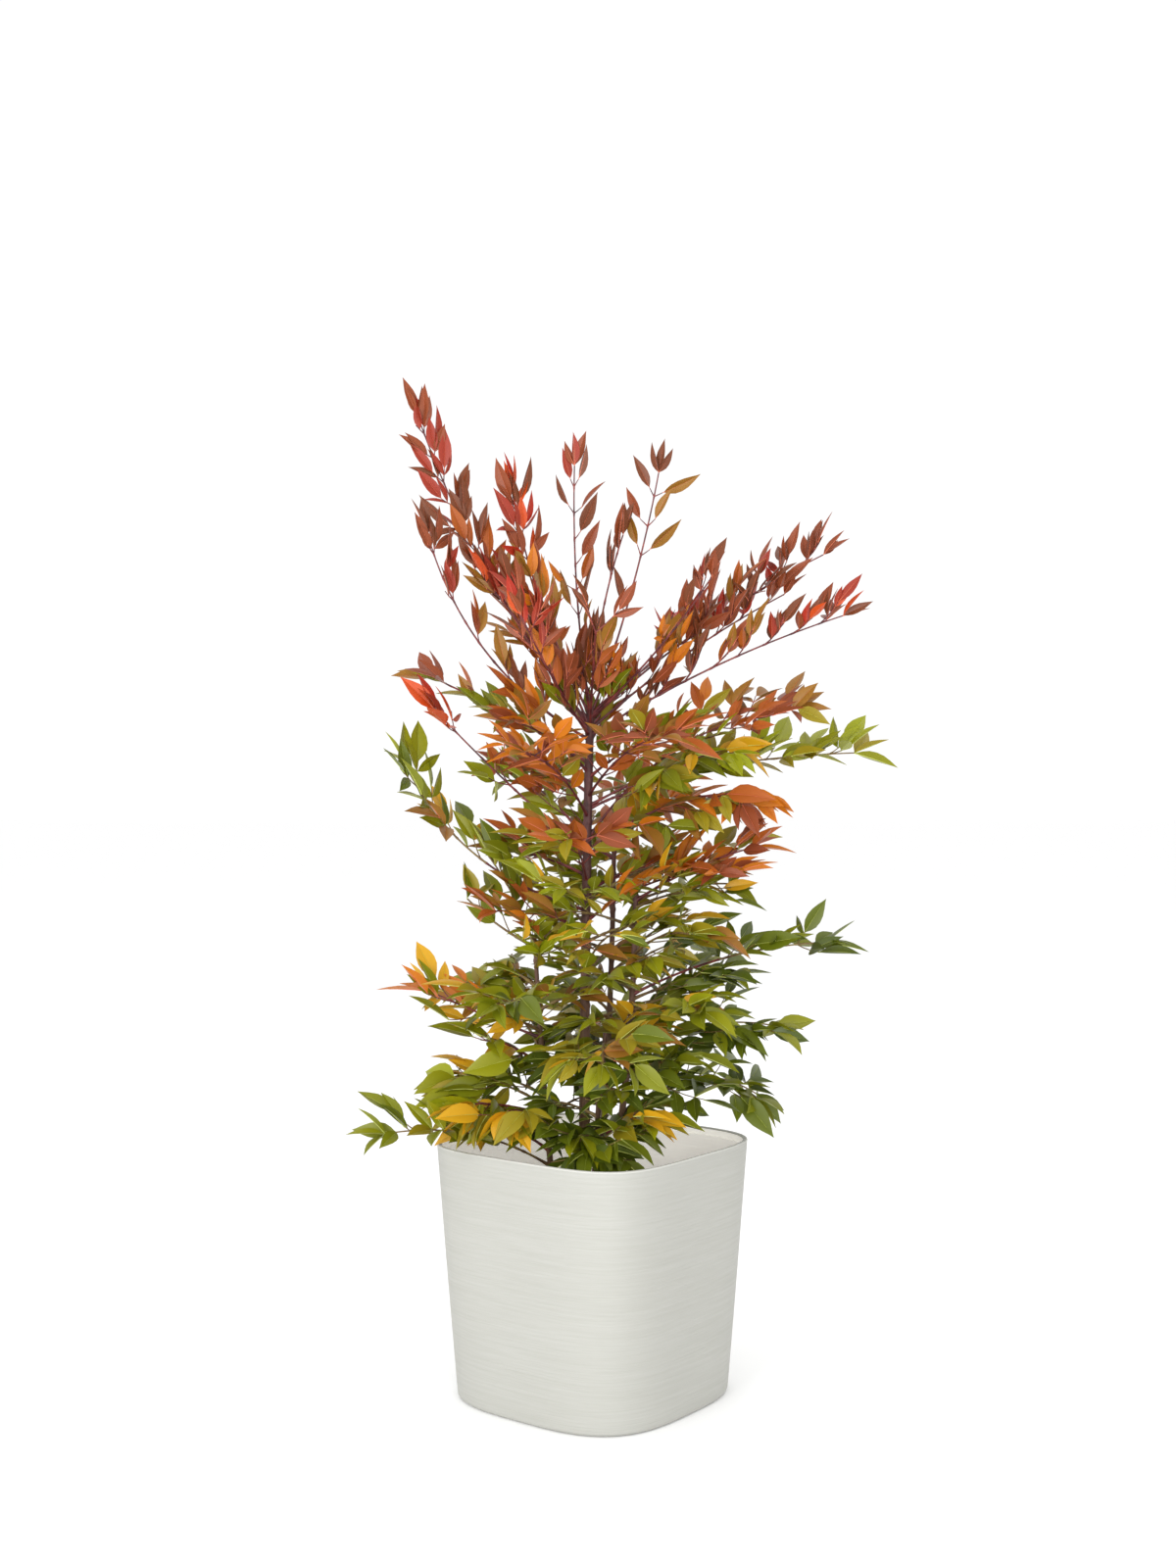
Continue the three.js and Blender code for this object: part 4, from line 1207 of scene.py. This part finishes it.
# A leaflet's outline: share of its length from the root, and half width as a share of its widest.
OUTLINE = [(0.05, 0.14), (0.14, 0.54), (0.27, 0.90), (0.43, 1.0), (0.60, 0.87), (0.77, 0.53), (0.91, 0.18)]
# Columns of a row's points: out over its upper face from left to right, and back underneath.
UPPER = (-1, -0.5, 0, 0.5, 1)
UNDER = (0,)
EDGE_RISE = 0.17  # rise of the edges above the midrib, as a share of the width
HALF_BULGE = 0.035  # rise of the middle of each half, as a share of the width
CURL_SHORTENS = 0.3
CURL_DROPS = 0.6
LEAFLET_THICKNESS = 0.01  # as a share of length
LEAFLET_ANGLE = 34  # degrees between two faces of a leaflet that are shaded as one surface
RING = len(UPPER) + len(UNDER)


def leaflet_faces():
    """Faces of one closed leaflet: rings of points round its rows, closed at root and tip."""
    around = [(i, (i + 1) % RING) for i in range(RING)]
    rows = [row * RING for row in range(len(OUTLINE))]
    root, tip = len(OUTLINE) * RING, len(OUTLINE) * RING + 1
    sides = [(low + j, low + i, high + i, high + j) for low, high in zip(rows, rows[1:]) for i, j in around]
    ends = [(root, i, j) for i, j in around] + [(tip, rows[-1] + j, rows[-1] + i) for i, j in around]
    return np.array(sides), np.array(ends)


def leaflet_template():
    """Shares along, across and out of the leaflet for its points, and how far each lies below."""
    rows = []
    for along, half in OUTLINE:
        for column, below in [(c, 0) for c in UPPER] + [(c, 1) for c in UNDER]:
            bulge = HALF_BULGE * (1 - (2 * abs(column) - 1) ** 2)
            rise = half * (EDGE_RISE * abs(column) + bulge)
            rows.append((along, column * half / 2, rise, -below))
    ends = [(along, 0, 0, -0.5) for along in (0, 1)]
    return np.array(rows + ends)


def leaflet_points(template, leaflet):
    """A leaflet's points: the template bent down along its length and swayed to one side."""
    root, along, across, length, width, curl, sway = leaflet
    face = np.cross(along, across)
    share = template[:, 0]
    bend = curl * share**2
    x = length * (share - CURL_SHORTENS * curl * bend)
    y = length * (width * template[:, 1] + sway * share * (1 - share))
    z = length * (width * template[:, 2] - CURL_DROPS * bend + LEAFLET_THICKNESS * template[:, 3])
    return root + np.outer(x, along) + np.outer(y, across) + np.outer(z, face)


template = leaflet_template()
quads, triangles = leaflet_faces()

LEAF_ROUGHNESS = 0.4
LEAF_GLOSS = 0.28
GREEN_GLOSS = {"foliage_green": 0.3, "foliage_deep": 0.36}  # of the older, leathery leaves
MIDRIBS = {"red": ((204, 112, 84), "foliage_bronze"), "pale": ((182, 190, 96), "foliage_green")}
MIDRIB_WIDTH = 0.02  # as a share of the leaflet's length, at its foot
MIDRIB_ROWS = ((0, 1), (2, 0.8), (4, 0.6), (5, 0.4))  # rows of the outline, and what is left of it
PETIOLE = 2.5  # how far it runs back from the blade into its twig
# the tint whose piece stands for a leaf's solid, where its palette isn't named for one
MAIN_TINT = {
    "vivid": "flame",
    "brown": "umber",
    "copper": "bronze",
    "ember": "orange",
    "russet": "rust",
    "green": "grass",
}


def leaf_finish(name, colour, gloss):
    material, shader, _ = start_finish(name, LEAF_ROUGHNESS)
    shader.inputs["Base Color"].default_value = linear(colour)
    shader.inputs["Specular IOR Level"].default_value = gloss
    return material


def midrib_rings(shape, leaflet):
    """Rings of four points round a leaflet's midrib, standing proud above and below."""
    root, along, across, length, *_ = leaflet
    face = np.cross(along, across)
    rings = []
    for row, share in MIDRIB_ROWS:
        half = MIDRIB_WIDTH * length * share / 2
        above, below = shape[row * RING + UPPER.index(0)], shape[row * RING + RING - 1]
        level = (above + below) / 2
        side, out = across * half, face * half
        rings.append(np.array((level - side, below - out, level + side, above + out)))
    return [rings[0] - along * PETIOLE] + rings


outer = [stalk for stalk in stalks if stalk.name != INNER]
midribs = {colour: [] for colour in MIDRIBS}
for tint, (colour, slot, midrib) in TINTS.items():
    points, faces = [], []
    for leaflet in leaflets[tint]:
        first = len(points)
        shape = leaflet_points(template, leaflet)
        points.extend(shape)
        faces += (quads + first).tolist() + (triangles + first).tolist()
        midribs[midrib].append(midrib_rings(shape, leaflet))
    finish = leaf_finish(tint, colour, GREEN_GLOSS.get(slot, LEAF_GLOSS))
    piece = piece_from("leaflets_" + tint, points, faces, finish, slot, LEAFLET_ANGLE)
    masses = ["leaf_" + stalk.name for stalk in outer if MAIN_TINT.get(stalk.tint, stalk.tint) == tint]
    if masses:
        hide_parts(*masses)

for name, (colour, slot) in MIDRIBS.items():
    finish = leaf_finish("midrib_" + name, colour, LEAF_GLOSS)
    piece_from("midribs_" + name, *joined(midribs[name]), finish, slot)
